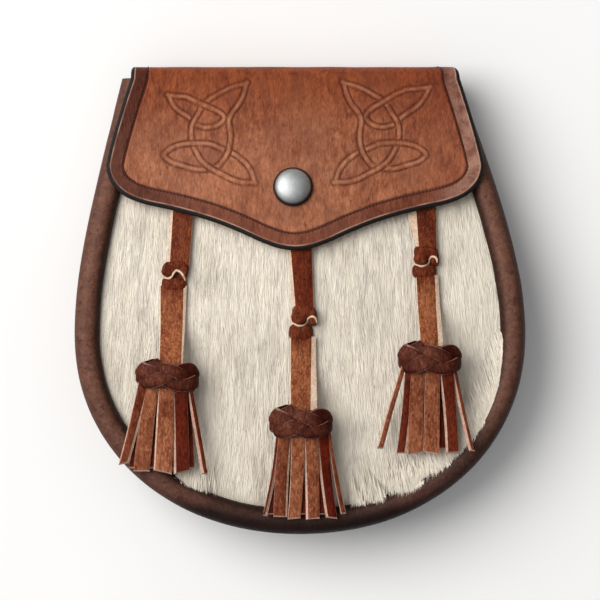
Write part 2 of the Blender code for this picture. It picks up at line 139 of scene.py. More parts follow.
def noise_field(across, along, cell_across, cell_along, seed):
    """Smooth chance values from 0 to 1: a lattice of seeded random numbers, eased between."""
    lattice = np.random.default_rng(seed).random(LATTICE)
    column = across / cell_across + LATTICE_SHIFT
    row = along / cell_along + LATTICE_SHIFT
    left = np.floor(column).astype(int)
    low = np.floor(row).astype(int)
    way_right = ease(column - left)
    way_up = ease(row - low)
    left, right = left % LATTICE[0], (left + 1) % LATTICE[0]
    low, high = low % LATTICE[1], (low + 1) % LATTICE[1]
    under = lattice[left, low] * (1 - way_right) + lattice[right, low] * way_right
    over = lattice[left, high] * (1 - way_right) + lattice[right, high] * way_right
    return under * (1 - way_up) + over * way_up


def unit(vectors):
    """Vectors of the same directions and of length one."""
    return vectors / np.maximum(np.linalg.norm(vectors, axis=-1, keepdims=True), 1e-12)


def grid_normals(grid):
    """Unit normals of a grid: the cross product of its steps along rows and across columns."""
    return unit(np.cross(np.gradient(grid, axis=0), np.gradient(grid, axis=1)))


# Where a closed strip lies in its cell of the map: its wrap, and then its two end walls
WRAP_SHARE = 0.94
END_WALL_STARTS = (0.95, 0.98)
END_WALL_SHARE = 0.02


def ring_faces(place):
    """Faces between rows of points that close round on themselves."""
    turned = np.roll(place, -1, axis=1)
    return np.stack((place[:-1], turned[:-1], turned[1:], place[1:]), axis=-1)


def slab(top, bottom, ends=True, **marks):
    """A closed strip between two grids of the same size, with walls at its sides and ends.

    The walls take the second finish, the cut edge. Marks are values at the top's points.
    """
    rows, columns, _ = top.shape
    count = 2 * columns
    points = np.concatenate((top, bottom[:, ::-1]), axis=1).reshape(-1, 3)
    place = np.arange(rows * count).reshape(rows, count)
    u = np.arange(count) / count * WRAP_SHARE
    v = np.linspace(0.0, 1.0, rows)
    u_left, v_low = np.meshgrid(u, v[:-1])
    u_right, v_high = np.meshgrid(u + WRAP_SHARE / count, v[1:])
    corners_u = np.stack((u_left, u_right, u_right, u_left), axis=-1)
    corners_v = np.stack((v_low, v_low, v_high, v_high), axis=-1)
    flat = [np.stack((corners_u, corners_v), axis=-1).reshape(-1, 4, 2)]
    kinds = np.zeros((rows - 1, count), int)
    kinds[:, [columns - 1, -1]] = 1
    faces = [ring_faces(place).reshape(-1, 4)]
    kinds = [kinds.ravel()]
    share = np.linspace(0.0, 1.0, columns)
    for row, start in zip((0, -1), END_WALL_STARTS if ends else ()):
        upper = place[row, :columns]
        lower = place[row, columns:][::-1]
        faces.append(np.stack((upper[:-1], upper[1:], lower[1:], lower[:-1]), axis=-1))
        stop = start + END_WALL_SHARE
        end_u = np.tile(np.array((start, start, stop, stop)), (columns - 1, 1))
        end_v = np.stack((share[:-1], share[1:], share[1:], share[:-1]), axis=-1)
        flat.append(np.stack((end_u, end_v), axis=-1))
        kinds.append(np.ones(columns - 1, int))
    marks = {
        name: np.concatenate((value, value[:, ::-1]), axis=1).ravel()
        for name, value in marks.items()
    }
    return {
        "points": points,
        "faces": np.concatenate(faces),
        "map": np.concatenate(flat),
        "kinds": np.concatenate(kinds),
        "marks": marks,
    }


def make_mesh(name, points, faces, laid, marks, finishes):
    """A mesh and its object: its faces, their places in the OFBake map, its marks and finishes."""
    mesh = bpy.data.meshes.new(name)
    mesh.from_pydata(points.reshape(-1, 3).tolist(), [], faces)
    mesh.uv_layers.new(name="OFBake").data.foreach_set("uv", laid)
    for mark_name, value in marks.items():
        written = mesh.attributes.new(mark_name, "FLOAT", "POINT")
        written.data.foreach_set("value", value.astype(np.float32))
    for finish in finishes:
        mesh.materials.append(finish)
    mesh.shade_smooth()
    made = bpy.data.objects.new(name, mesh)
    bpy.context.scene.collection.objects.link(made)
    return made, mesh


def close_mesh(mesh, kinds):
    """Gives each face its finish's number, joins points that meet, and turns all faces out."""
    mesh.polygons.foreach_set("material_index", kinds.astype(np.int32))
    work = bmesh.new()
    work.from_mesh(mesh)
    bmesh.ops.remove_doubles(work, verts=work.verts, dist=0.0000005)
    bmesh.ops.recalc_face_normals(work, faces=work.faces)
    work.to_mesh(mesh)
    work.free()


def make_piece(name, parts, *finishes, crease=40.0):
    """One mesh of several parts. OFBake lays each part's map in its own cell of the square."""
    side = math.ceil(math.sqrt(len(parts)))
    starts = np.cumsum([0] + [len(part["points"]) for part in parts])
    faces, laid = [], []
    for number, part in enumerate(parts):
        corner = np.array((number % side, number // side))
        faces += (part["faces"] + starts[number]).tolist()
        laid.append(((corner + 0.02 + 0.96 * part["map"]) / side).ravel())
    marks = {}
    for key in sorted({key for part in parts for key in part["marks"]}):
        values = [part["marks"].get(key, np.zeros(len(part["points"]))) for part in parts]
        marks[key] = np.concatenate(values)
    points = np.concatenate([part["points"] for part in parts])
    made, mesh = make_mesh(name, points, faces, np.concatenate(laid), marks, finishes)
    close_mesh(mesh, np.concatenate([part["kinds"] for part in parts]))
    mesh.set_sharp_from_angle(angle=math.radians(crease))
    return made


def add_node(tree, kind, feeds=None, **settings):
    """A node with its settings; each feed is a value, or the socket that feeds that input."""
    made = tree.nodes.new(kind)
    for name, value in settings.items():
        setattr(made, name, value)
    for key, value in (feeds or {}).items():
        if isinstance(value, bpy.types.NodeSocket):
            tree.links.new(value, made.inputs[key])
        else:
            made.inputs[key].default_value = value
    return made


def calc(tree, operation, first, second):
    """A Math node's result, held between 0 and 1 where the operation ends in a bar."""
    feeds = {0: first, 1: second}
    settings = {"operation": operation.rstrip("|"), "use_clamp": operation.endswith("|")}
    return add_node(tree, "ShaderNodeMath", feeds, **settings).outputs[0]


def times(tree, first, second):
    """The product of two values."""
    return calc(tree, "MULTIPLY", first, second)


def weighed(tree, first, share, second):
    """Two values added, the first one by its share and the second one by the rest."""
    return calc(tree, "ADD", times(tree, first, share), times(tree, second, round(1 - share, 2)))


def mix_colours(tree, share, first, second, blend="MIX"):
    """A colour between two colours, or the first one multiplied by the second one."""
    feeds = {0: share, 6: first, 7: second}
    made = add_node(tree, "ShaderNodeMix", feeds, data_type="RGBA", blend_type=blend)
    return made.outputs[2]


def layered(tree, colour, layers):
    """A colour under layers in turn. Each has a share and a tone, which it mixes in, or
    multiplies by where the layer says so."""
    for share, tone, *blend in layers:
        colour = mix_colours(tree, share, colour, (*tone, 1), *blend)
    return colour


def span(tree, value, low, high, to_low=0.0, to_high=1.0):
    """A value mapped smoothly from one range to another, and held there."""
    feeds = {"Value": value, "From Min": low, "From Max": high, "To Min": to_low, "To Max": to_high}
    made = add_node(tree, "ShaderNodeMapRange", feeds, interpolation_type="SMOOTHSTEP")
    return made.outputs["Result"]


def mark(tree, name):
    """A value that the mesh carries at its points."""
    return add_node(tree, "ShaderNodeAttribute", attribute_name=name).outputs["Fac"]


def object_place(tree):
    """The place on the object, in metres."""
    return add_node(tree, "ShaderNodeTexCoord").outputs["Object"]


def stretched(tree, vector, scale):
    """A place scaled by an own amount along each axis."""
    return add_node(tree, "ShaderNodeMapping", {"Vector": vector, "Scale": scale}).outputs[0]


def raise_surface(tree, shader, height, distance):
    """Bumps the shader's surface by a height times a distance in metres."""
    raised = add_node(tree, "ShaderNodeBump", {"Height": height, "Distance": distance})
    tree.links.new(raised.outputs["Normal"], shader.inputs["Normal"])


def new_material(name):
    """A material of one principled shader, with its node tree and that shader."""
    material = bpy.data.materials.new(name)
    material.use_nodes = True
    return material, material.node_tree, material.node_tree.nodes["Principled BSDF"]


def noise(tree, vector, scale, detail=2.0, roughness=0.5):
    """Noise whose features are one over the scale, in metres."""
    feeds = {"Vector": vector, "Scale": scale, "Detail": detail, "Roughness": roughness}
    return add_node(tree, "ShaderNodeTexNoise", feeds).outputs["Fac"]


def make_group(name, inputs, outputs):
    """An empty shader node group with number or vector inputs and number outputs."""
    group = bpy.data.node_groups.new(name, "ShaderNodeTree")
    for label, kind in inputs:
        group.interface.new_socket(name=label, in_out="INPUT", socket_type=kind)
    for label in outputs:
        group.interface.new_socket(name=label, in_out="OUTPUT", socket_type="NodeSocketFloat")
    return group, group.nodes.new("NodeGroupInput"), group.nodes.new("NodeGroupOutput")


def leather_grain_group():
    """Grain: broad mottling, dark specks, and the height of small round pebbles and pores."""
    inputs = (("Vector", "NodeSocketVector"), ("Scale", "NodeSocketFloat"))
    group, given, out = make_group("leather_grain", inputs, ("Mottle", "Specks", "Flecks", "Height"))
    feeds = {0: given.outputs["Vector"], "Scale": given.outputs["Scale"]}
    place = add_node(group, "ShaderNodeVectorMath", feeds, operation="SCALE").outputs[0]
    feeds = {"Vector": place, "Scale": 1.0}
    pebbles = add_node(group, "ShaderNodeTexVoronoi", feeds, feature="SMOOTH_F1")
    rounded = times(group, calc(group, "SUBTRACT", 0.8, pebbles.outputs["Distance"]), 0.6)
    pores = noise(group, place, 1.7, 4.0, 0.62)
    broad = noise(group, place, 0.13, 3.0, 0.6)
    middle = noise(group, place, 0.45, 3.0, 0.6)
    results = {
        "Mottle": span(group, weighed(group, broad, 0.5, middle), 0.34, 0.66),
        "Specks": span(group, noise(group, place, 0.62, 2.0, 0.45), 0.60, 0.74),
        "Flecks": span(group, noise(group, place, 1.05, 2.0, 0.55), 0.40, 0.62),
        "Height": calc(group, "ADD", rounded, times(group, pores, 0.7)),
    }
    for label, result in results.items():
        group.links.new(result, out.inputs[label])
    return group


LEATHER_GRAIN = leather_grain_group()


def leather(name, tones, scale, bump, roughness, specular, stretch=(1, 1, 1), fleck=0.25, wear_and_painted_light=None):
    """Leather in three tones, dark, light and speck: the first two by mottling, and darker
    specks and flecks over them. A further function gives its own layers of colour for a tree and a
    place, which hold real wear as well as painted shade and highlight."""
    material, tree, shader = new_material(name)
    where = stretched(tree, object_place(tree), stretch)
    feeds = {"Vector": where, "Scale": scale}
    grain = add_node(tree, "ShaderNodeGroup", feeds, node_tree=LEATHER_GRAIN)
    dark, light, speck = tones
    layers = [
        (grain.outputs["Mottle"], light),
        (times(tree, grain.outputs["Specks"], 0.55), speck),
        (times(tree, grain.outputs["Flecks"], fleck), speck),
    ]
    if wear_and_painted_light:
        layers += wear_and_painted_light(tree, where)
    tree.links.new(layered(tree, (*dark, 1), layers), shader.inputs["Base Color"])
    rough = span(tree, grain.outputs["Mottle"], 0.0, 1.0, *roughness)
    tree.links.new(rough, shader.inputs["Roughness"])
    raise_surface(tree, shader, grain.outputs["Height"], bump)
    shader.inputs["Specular IOR Level"].default_value = specular
    return material


# The dark leather's tones: dark, light and speck
ROLLED_TONES = ((0.112, 0.042, 0.027), (0.200, 0.086, 0.055), (0.03, 0.012, 0.008))
RAW_DARK_TONES = ((0.05, 0.022, 0.014), (0.09, 0.04, 0.026), (0.03, 0.015, 0.01))


def gusset_painted_shade(tree, where):
    """Painted shade on the rolled leather: darker towards the bottom, at the outer side of each bead
    and most so on the right, over the bead's crown along the bottom, at the lower right, and where
    the bead meets the hide."""
    parts = add_node(tree, "ShaderNodeSeparateXYZ", {0: where}).outputs
    across, level = parts["X"], parts["Y"]
    bead = mark(tree, "bead")
    outer = span(tree, bead, 0.0, 0.42, 0.95, 0.0)
    rightwards = span(tree, across, -0.06, 0.05, 0.55, 1.0)
    crown = span(tree, bead, 0.35, 0.85, 0.95, 0.3)
    foot = span(tree, level, -0.081, -0.073, 1.0, 0.0)
    low = span(tree, level, -0.060, -0.022, 0.75, 0.0)
    right = span(tree, across, 0.030, 0.062)
    # Each layer here is painted shade.
    return (
        (span(tree, level, -0.088, -0.035, 0.75, 0.0), (0.40, 0.36, 0.42), "MULTIPLY"),
        (times(tree, outer, rightwards), (0.30, 0.24, 0.24), "MULTIPLY"),
        (times(tree, crown, foot), (0.14, 0.10, 0.10), "MULTIPLY"),
        (times(tree, low, right), (0.42, 0.46, 0.50), "MULTIPLY"),
        (span(tree, bead, 0.62, 0.97, 0.0, 0.95), (0.16, 0.13, 0.13), "MULTIPLY"),
    )


ROLLED_LEATHER = leather(
    "rolled_leather", ROLLED_TONES, 900.0, 0.00014, (0.48, 0.62), 0.16, wear_and_painted_light=gusset_painted_shade
)
ROLLED_LEATHER_EDGE = leather(
    "rolled_leather_edge", RAW_DARK_TONES, 1400.0, 0.0001, (0.55, 0.7), 0.5
)

ROLL_POINTS = 25
WAIST_POINTS = 7
SIDE_STATIONS = 46
BASE_STATIONS = 110
PUCKER = 0.00012
PUCKER_LENGTH = 0.009


def gusset_side(side, insets):
    """Places along one half of the outline for every inset, from the gusset's end to the base.

    Above the widest level they follow the levels, and below it the angle of the superellipse.
    """
    level = np.linspace(END_LEVEL, WIDEST_LEVEL, SIDE_STATIONS + 1)[:-1, None]
    turn = np.linspace(0.0, math.pi / 2, BASE_STATIONS + 1)[:, None]
    power = 2 / ROUND_POWER
    across = np.concatenate(
        (
            side * half_width(level, insets) + lean(level),
            side * (BODY_WIDTH / 2 - insets) * np.cos(turn).clip(0.0) ** power,
        )
    )
    low = WIDEST_LEVEL - (WIDEST_HEIGHT - insets) * np.sin(turn) ** power
    return across, np.concatenate((level + 0 * insets, low))


def gusset_face(insets, share_up, rise):
    """One face of the strip at all stations: its insets, and heights that scale with the depth."""
    left_across, left_level = gusset_side(-1, insets)
    right_across, right_level = gusset_side(1, insets)
    across = np.concatenate((left_across, right_across[-2::-1]))
    level = np.concatenate((left_level, right_level[-2::-1]))
    middle = level.mean(axis=1, keepdims=True)
    front = crest(middle) - ROLL_RISE
    height = ROLL_RISE + (front - ROLL_RISE) * share_up + rise
    return np.stack((across, level, height), axis=-1)


def gusset_faces():
    """The outer and inner faces of the strip: front roll, waist, back roll and its lip."""
    turn = np.linspace(0.0, math.pi, ROLL_POINTS)
    down = np.linspace(1.0, 0.0, WAIST_POINTS + 2)[1:-1]
    lip_rise = BACK_RECESS - CLEARANCE - ROLL_RISE
    ones, zeros = np.ones(ROLL_POINTS), np.zeros(ROLL_POINTS)
    share_up = np.concatenate((ones, down, zeros, (0.0,)))
    insets = np.concatenate(
        (
            ROLL_RADIUS * (1 + np.cos(turn)),
            GUSSET_WAIST * np.sin(math.pi * down),
            ROLL_RADIUS * (1 - np.cos(turn)),
            (LIP_INSET,),
        )
    )
    rise = np.concatenate(
        (ROLL_RISE * np.sin(turn), 0 * down, -ROLL_RISE * np.sin(turn), (lip_rise,))
    )
    thin = ROLL_RADIUS - GUSSET_WALL
    thin_rise = ROLL_RISE - GUSSET_WALL
    inner_insets = np.concatenate(
        (
            ROLL_RADIUS + thin * np.cos(turn),
            GUSSET_WALL + GUSSET_WAIST * np.sin(math.pi * down),
            ROLL_RADIUS - thin * np.cos(turn),
            (LIP_INSET - GUSSET_WALL,),
        )
    )
    inner_rise = np.concatenate(
        (thin_rise * np.sin(turn), 0 * down, -thin_rise * np.sin(turn), (lip_rise,))
    )
    outer = gusset_face(insets, share_up, rise)
    inner = gusset_face(inner_insets, share_up, inner_rise)
    return outer, inner


def puckered(outer):
    """The outer face, swollen a little and unevenly along the strip, and still above the floor."""
    crest_line = outer[:, ROLL_POINTS // 2]
    steps = np.linalg.norm(np.diff(crest_line, axis=0, prepend=crest_line[:1]), axis=1)
    round_by = np.arange(outer.shape[1])[None, :]
    ripple = noise_field(np.cumsum(steps)[:, None], round_by, PUCKER_LENGTH, 9.0, 3) - 0.75
    normals = grid_normals(outer)
    inward = -np.sign(normals[5, ROLL_POINTS // 2, 2])
    outer = outer + normals * (PUCKER * ripple)[..., None] * inward
    outer[..., 2] = np.maximum(outer[..., 2], 0.0)
    return outer


def bead_mark(shape):
    """1 where the front roll meets the hide, and less round it to 0 at its outer side."""
    front = 1 + np.cos(np.linspace(0.0, math.pi, ROLL_POINTS))
    return np.broadcast_to(np.concatenate((front, np.zeros(shape[1] - ROLL_POINTS))) / 2, shape)


outer, inner = gusset_faces()
strip = slab(puckered(outer), inner, bead=bead_mark(outer.shape[:2]))
gusset = make_piece("gusset_rolled", [strip], ROLLED_LEATHER, ROLLED_LEATHER_EDGE)
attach(gusset, "root")
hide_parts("gusset")


# The back and flap
# One sheet of tan leather, folded over the mouth. The flap's edge is rounded and painted black,
# a seam runs inside it, and two interlaced knots are tooled into it with a blunt modelling tool.

SHEET_WALL = 0.0024
FLAP_WIDTH = 0.1436
FLAP_TOP_WIDTH = 0.1252
FLAP_DROP = 0.0707
FLAP_SHIFT = -0.0018
FLAP_SIDE_POWER = 1.2
UNDER_FLAP = 0.0027
FLAP_EASING = 0.0015
HIDE_DOME = 0.007
DOME_POWER = 5
MOUTH_DROP = 0.0124
MOUTH_FLATNESS = 0.35
MOUTH_LEVEL = END_LEVEL - MOUTH_DROP
SEAM_INSET = 0.0064
SEAM_HALF = 0.00035
SEAM_DEPTH = 0.0005
RIDGE_OFF = 0.0009
RIDGE_HALF = 0.0004
RIDGE_RISE = 0.00008
SWELL_RISE = 0.00022

# The flap's lower edge: share of its half width, share of its drop
FLAP_EDGE = (
    (0.0, 1.0),
    (0.08, 0.990),
    (0.16, 0.963),
    (0.285, 0.906),
    (0.412, 0.854),
    (0.54, 0.813),
    (0.665, 0.780),
    (0.794, 0.751),
    (0.885, 0.716),
    (0.955, 0.660),
    (1.0, 0.540),
)

FLAP_COLUMNS = 66
COLUMNS_UNDER = 6
BACK_ROWS = 12
BACK_STEP = 0.009
FOLD_ROWS = 12
FLAP_ROWS = 160
BORDER_POINTS = 150

# Where the flap's mesh is finer, at the knots, the seam and the rim: start, end and how much
FINE_ACROSS = ((0.24, 0.70, 0.55), (0.89, 0.95, 0.9), (0.975, 1.1, 1.6))
FINE_DOWN = ((0.1, 0.86, 0.5), (0.875, 0.93, 1.0), (0.975, 1.1, 1.6))


def soft_max(first, second):
    """The larger of two heights, rounded where they meet."""
    return (first + second + np.hypot(first - second, FLAP_EASING)) / 2


def hide_top(across, level):
    """Height of the laid nap: one less the square of the share of half width, times one less
    the fifth power of the share of the way down, and flatter towards the mouth."""
    side = np.clip((across - lean(level)) / half_width(level, LIP_INSET), -1.0, 1.0)
    run_down = MOUTH_LEVEL - base_of_column(side, LIP_INSET)
    down = np.clip((MOUTH_LEVEL - level) / run_down, 0.0, 1.0)
    dome = (1 - side**2) * (1 - down**DOME_POWER) * (1 - MOUTH_FLATNESS * (1 - down) ** 3)
    return crest(level) - ROLL_RISE - CLEARANCE + HIDE_DOME * dome


def flap_half_width(level):
    """Half the flap's width, which grows from the fold down to where its corners start."""
    widest = TOP_LEVEL - FLAP_EDGE[-1][1] * FLAP_DROP
    rise = np.clip((level - widest) / (END_LEVEL - widest), 0.0, 1.0)
    return FLAP_WIDTH / 2 - (FLAP_WIDTH - FLAP_TOP_WIDTH) / 2 * rise**FLAP_SIDE_POWER


def flap_edge(share):
    """Level of the flap's lower edge at a share of its half width.

    A cubic runs through the rows over the root of one less the share, so that the edge turns
    the corner without a kink.
    """
    widths, drops = np.array(FLAP_EDGE)[::-1].T
    knots = np.sqrt(1 - widths)
    slopes = np.gradient(drops, knots)
    slopes[-1] = 0.0
    at = np.sqrt(np.clip(1 - np.abs(share), 0.0, 1.0))
    left = np.clip(np.searchsorted(knots, at, side="right") - 1, 0, len(knots) - 2)
    length = knots[left + 1] - knots[left]
    way = (at - knots[left]) / length
    start = (1 + 2 * way) * (1 - way) ** 2 * drops[left]
    end = way**2 * (3 - 2 * way) * drops[left + 1]
    bend = way * (1 - way) * length * ((1 - way) * slopes[left] - way * slopes[left + 1])
    return TOP_LEVEL - FLAP_DROP * (start + end + bend)


def flap_underside(across, level):
    """Height of the flap's lower face: over the rolls, and over the hide by a strap's room."""
    seat = crest(level) + CLEARANCE
    lift = soft_max(seat, hide_top(across, level) + UNDER_FLAP) - seat
    return seat + lift * ease((END_LEVEL - level) / MOUTH_DROP)


def flap_tilt(across, level, step):
    """How much the flap's lower face rises from a step before a place to a step past it."""
    tilt_x = flap_underside(across + step, level) - flap_underside(across - step, level)
    tilt_y = flap_underside(across, level + step) - flap_underside(across, level - step)
    return tilt_x, tilt_y


def flap_top(across, level):
    """Height of the flap's grain side: its wall over the lower face, measured square to it."""
    step = 0.0005
    tilt_x, tilt_y = flap_tilt(across, level, step)
    slant = np.sqrt(1 + (tilt_x**2 + tilt_y**2) / (4 * step * step))
    return flap_underside(across, level) + SHEET_WALL * slant


def crowded_steps(bands, count):
    """Shares from 0 to 1, closer together in some bands. Each band has a start, an end and how
    much closer: the steps are even in the running sum of one plus the bands' amounts."""
    fine = np.linspace(0.0, 1.0, 2001)
    close = 1.0 + sum(more * ((fine > low) & (fine < high)) for low, high, more in bands)
    sums = np.concatenate(((0.0,), np.cumsum((close[1:] + close[:-1]) / 2)))
    return np.interp(np.linspace(0.0, sums[-1], count + 1), sums, fine)


def flap_shares():
    """Shares of the half width, closer together over the knots, the seam and the rim."""
    half = crowded_steps(FINE_ACROSS, 3 * FLAP_COLUMNS)
    return np.concatenate((-half[:0:-1], half))


def fold_place(share, turn, out):
    """A place on the fold, half an ellipse from the back round to the flap, out by a distance."""
    low = BACK_RECESS + SHEET_WALL
    high = crest(END_LEVEL) + CLEARANCE
    way = ease(turn / math.pi)
    reach = half_width(END_LEVEL, RIM_INSET) * (1 - way) + FLAP_TOP_WIDTH / 2 * way
    across = share * reach + lean(END_LEVEL) * (1 - way) + FLAP_SHIFT * way
    level = END_LEVEL + (GUSSET_END_DROP - SHEET_WALL + out) * np.sin(turn) + 0 * share
    height = (low + high) / 2 - ((high - low) / 2 + out) * np.cos(turn) + 0 * share
    return np.stack((across, level, height), axis=-1)


def sheet_inner():
    """The sheet's inner face: up the back, round the fold and down the flap."""
    share = flap_shares()[None, :]
    down = np.linspace(1.0, 0.0, BACK_ROWS + 1)[:-1, None]
    level = END_LEVEL + down * (base_of_column(share, RIM_INSET) - END_LEVEL)
    across = share * half_width(level, RIM_INSET) + lean(level)
    back = np.stack((across, level, np.full(level.shape, BACK_RECESS + SHEET_WALL)), axis=-1)
    turn = np.linspace(0.0, math.pi, FOLD_ROWS + 1)[:-1, None]
    down = crowded_steps(FINE_DOWN, FLAP_ROWS)[:, None]
    level = END_LEVEL + down * (flap_edge(share) - END_LEVEL)
    across = share * flap_half_width(level) + FLAP_SHIFT
    flap = np.stack((across, level, flap_underside(across, level)), axis=-1)
    return np.concatenate((back, fold_place(share, turn, 0.0), flap))


def distance_to_path(points, path):
    """Least distance from each point to a line of straight runs, and whether it is to a place
    between the line's two ends."""
    near = np.full(len(points), 1.0)
    inside = np.zeros(len(points), bool)
    last = len(path) - 2
    for number in range(last + 1):
        run_to = path[number + 1] - path[number]
        share = (points - path[number]) @ run_to / (run_to @ run_to)
        foot = path[number] + np.clip(share, 0.0, 1.0)[:, None] * run_to
        gap = np.hypot(*(points - foot).T)
        past = ((number == 0) & (share < 0)) | ((number == last) & (share > 1))
        closer = gap < near
        near = np.where(closer, gap, near)
        inside = np.where(closer, ~past, inside)
    return near, inside


def flap_outline():
    """The flap's border from above the fold on the left, round the lower edge to the right."""
    share = np.sin(np.linspace(0.0, math.pi / 2, BORDER_POINTS))
    low = np.stack((share * flap_half_width(flap_edge(share)), flap_edge(share)), axis=-1)
    past_fold = TOP_LEVEL + 0.008
    level = np.linspace(float(flap_edge(1.0)), past_fold, BORDER_POINTS // 3)[1:]
    side = np.stack((flap_half_width(level), level), axis=-1)
    right = np.concatenate((low, side))
    left = right[:0:-1] * (-1, 1)
    return np.concatenate((left, right)) + (FLAP_SHIFT, 0)


# The tooled knots. Their template is in steps of 0.38 mm from the right knot's middle, and the
# left knot is its mirror image with a shorter upper horn.

TEMPLATE_STEP = 0.00038
KNOT_RIGHT = (0.03154, 0.06308)
KNOT_LEFT = (-0.03496, 0.06289)
KNOT_ROOM = (0.021, 0.022)
LEFT_HORN_REACH = 0.76
HORN_BEND = 14
CURVE_STEPS = 6
PASS_REACH = 10
STRAND_HALF = 0.00112
CROWN_RISE = 0.0001
GROOVE_HALF = 0.00034
GROOVE_DEPTH = 0.0004

LONG_STRAND = (
    (-39, 50), (-39, 50), (-35.5, 36.5), (-32, 29.5), (-25, 20.5), (-21.5, 12), (-23, 1), (-23, -9),
    (-20.5, -20), (-15, -29), (-10, -34), (0, -36.5), (12, -36.5), (24, -33), (35, -29.5),
    (43, -22.5), (37, -16), (28, -12), (17, -10.5), (7, -10.5), (-4, -11.5), (-14, -16),
    (-25, -20.5), (-32, -25), (-39, -31.5), (-44, -39), (-47.5, -50), (-47.5, -50),
    (-35.5, -50), (-25, -47), (-14.5, -41.5), (-4, -36), (4.5, -29), (10, -21), (15, -9),
    (16, 1), (15, 9), (10, 18), (4.5, 27), (-2.5, 34), (-8, 37), (-16.5, 42), (-25, 46),
)
HORN_STRAND = (
    (47, 46), (47, 46), (35, 44.5), (24, 43.5), (14, 39), (4.5, 33.5), (-3, 29), (-11, 24),
    (-17, 16), (-11, 8), (0, 5.5), (10, 8), (17, 14), (24, 19.5), (33, 25.5), (41, 34),
)


def cubic_run(way, here, there, slope_here, slope_there):
    """The cubic between two points with a slope at each, at a share of the way between them."""
    curve = (1 + 2 * way) * (1 - way) ** 2 * here + way**2 * (3 - 2 * way) * there
    return curve + way * (1 - way) * ((1 - way) * slope_here - way * slope_there)


def closed_curve(points, between):
    """A smooth closed line through points: cubic runs whose slopes join their neighbours."""
    slope = (np.roll(points, -1, axis=0) - np.roll(points, 1, axis=0)) / 2
    way = (np.arange(between) / between)[None, :, None]
    ends = [np.roll(values, -1, axis=0)[:, None] for values in (points, slope)]
    curve = cubic_run(way, points[:, None], ends[0], slope[:, None], ends[1]).reshape(-1, 2)
    return np.concatenate((curve, curve[:1]))


def crossings(first, second, same):
    """Pairs of runs of two lines that cut each other: each one's ends lie on both sides."""

    def side_of(start, end, point):
        way, off = end - start, point - start
        return way[..., 0] * off[..., 1] - way[..., 1] * off[..., 0]

    a, b = first[:-1, None], first[1:, None]
    c, d = second[None, :-1], second[None, 1:]
    cut = (side_of(a, b, c) * side_of(a, b, d) < 0) & (side_of(c, d, a) * side_of(c, d, b) < 0)
    pairs = np.argwhere(cut)
    return pairs[pairs[:, 0] + 1 < pairs[:, 1]] if same else pairs


def knot_distance(points, strands):
    """Distance from each point to the strand that lies on top there.

    The strands pass over and under each other in turn. Where two cross, the upper one's own
    middle line counts, between the ends of a short piece of it.
    """
    long, horn = strands
    passes = [(int(i), int(j), 0) for i, j in crossings(long, long, True)]
    passes += [(int(i), int(j), 1) for i, j in crossings(long, horn, False)]
    places = sorted([p[0] for p in passes] + [p[1] for p in passes if p[2] == 0])
    gap = np.minimum(distance_to_path(points, long)[0], distance_to_path(points, horn)[0])
    for first, second, other in passes:
        over_first = places.index(first) % 2 == 0
        line, middle = (long, first) if over_first else (strands[other], second)
        around = np.arange(middle - PASS_REACH + 1, middle + PASS_REACH + 1) % (len(line) - 1)
        near, inside = distance_to_path(points, line[around])
        gap = np.where(inside & (near < STRAND_HALF + GROOVE_HALF), near, gap)
    return gap


def knot_strands(middle, mirrored, horn_reach):
    """The two strands of a knot about its middle. The horn's far points are drawn in."""
    strands = []
    for template, reach in ((LONG_STRAND, 1.0), (HORN_STRAND, horn_reach)):
        points = np.array(template, float)
        points = np.where(points > HORN_BEND, HORN_BEND + (points - HORN_BEND) * reach, points)
        points *= (-1 if mirrored else 1, 1)
        strands.append(closed_curve(points, CURVE_STEPS) * TEMPLATE_STEP + middle)
    return strands


def tooling(across, level):
    """Tooled marks at places on the flap: 1 in a groove, and 1 on a strand's crown."""
    groove, crown = np.zeros(across.shape), np.zeros(across.shape)
    places = np.stack((across, level), axis=-1)
    for middle, mirrored, horn_reach in ((KNOT_RIGHT, False, 1.0), (KNOT_LEFT, True, LEFT_HORN_REACH)):
        near = np.all(np.abs(places - middle) < KNOT_ROOM, axis=-1)
        points = places[near]
        gap = knot_distance(points, knot_strands(middle, mirrored, horn_reach))
        groove[near] = np.exp(-(((gap - STRAND_HALF) / GROOVE_HALF) ** 2))
        crown[near] = ease(1 - gap / STRAND_HALF)
    return groove, crown


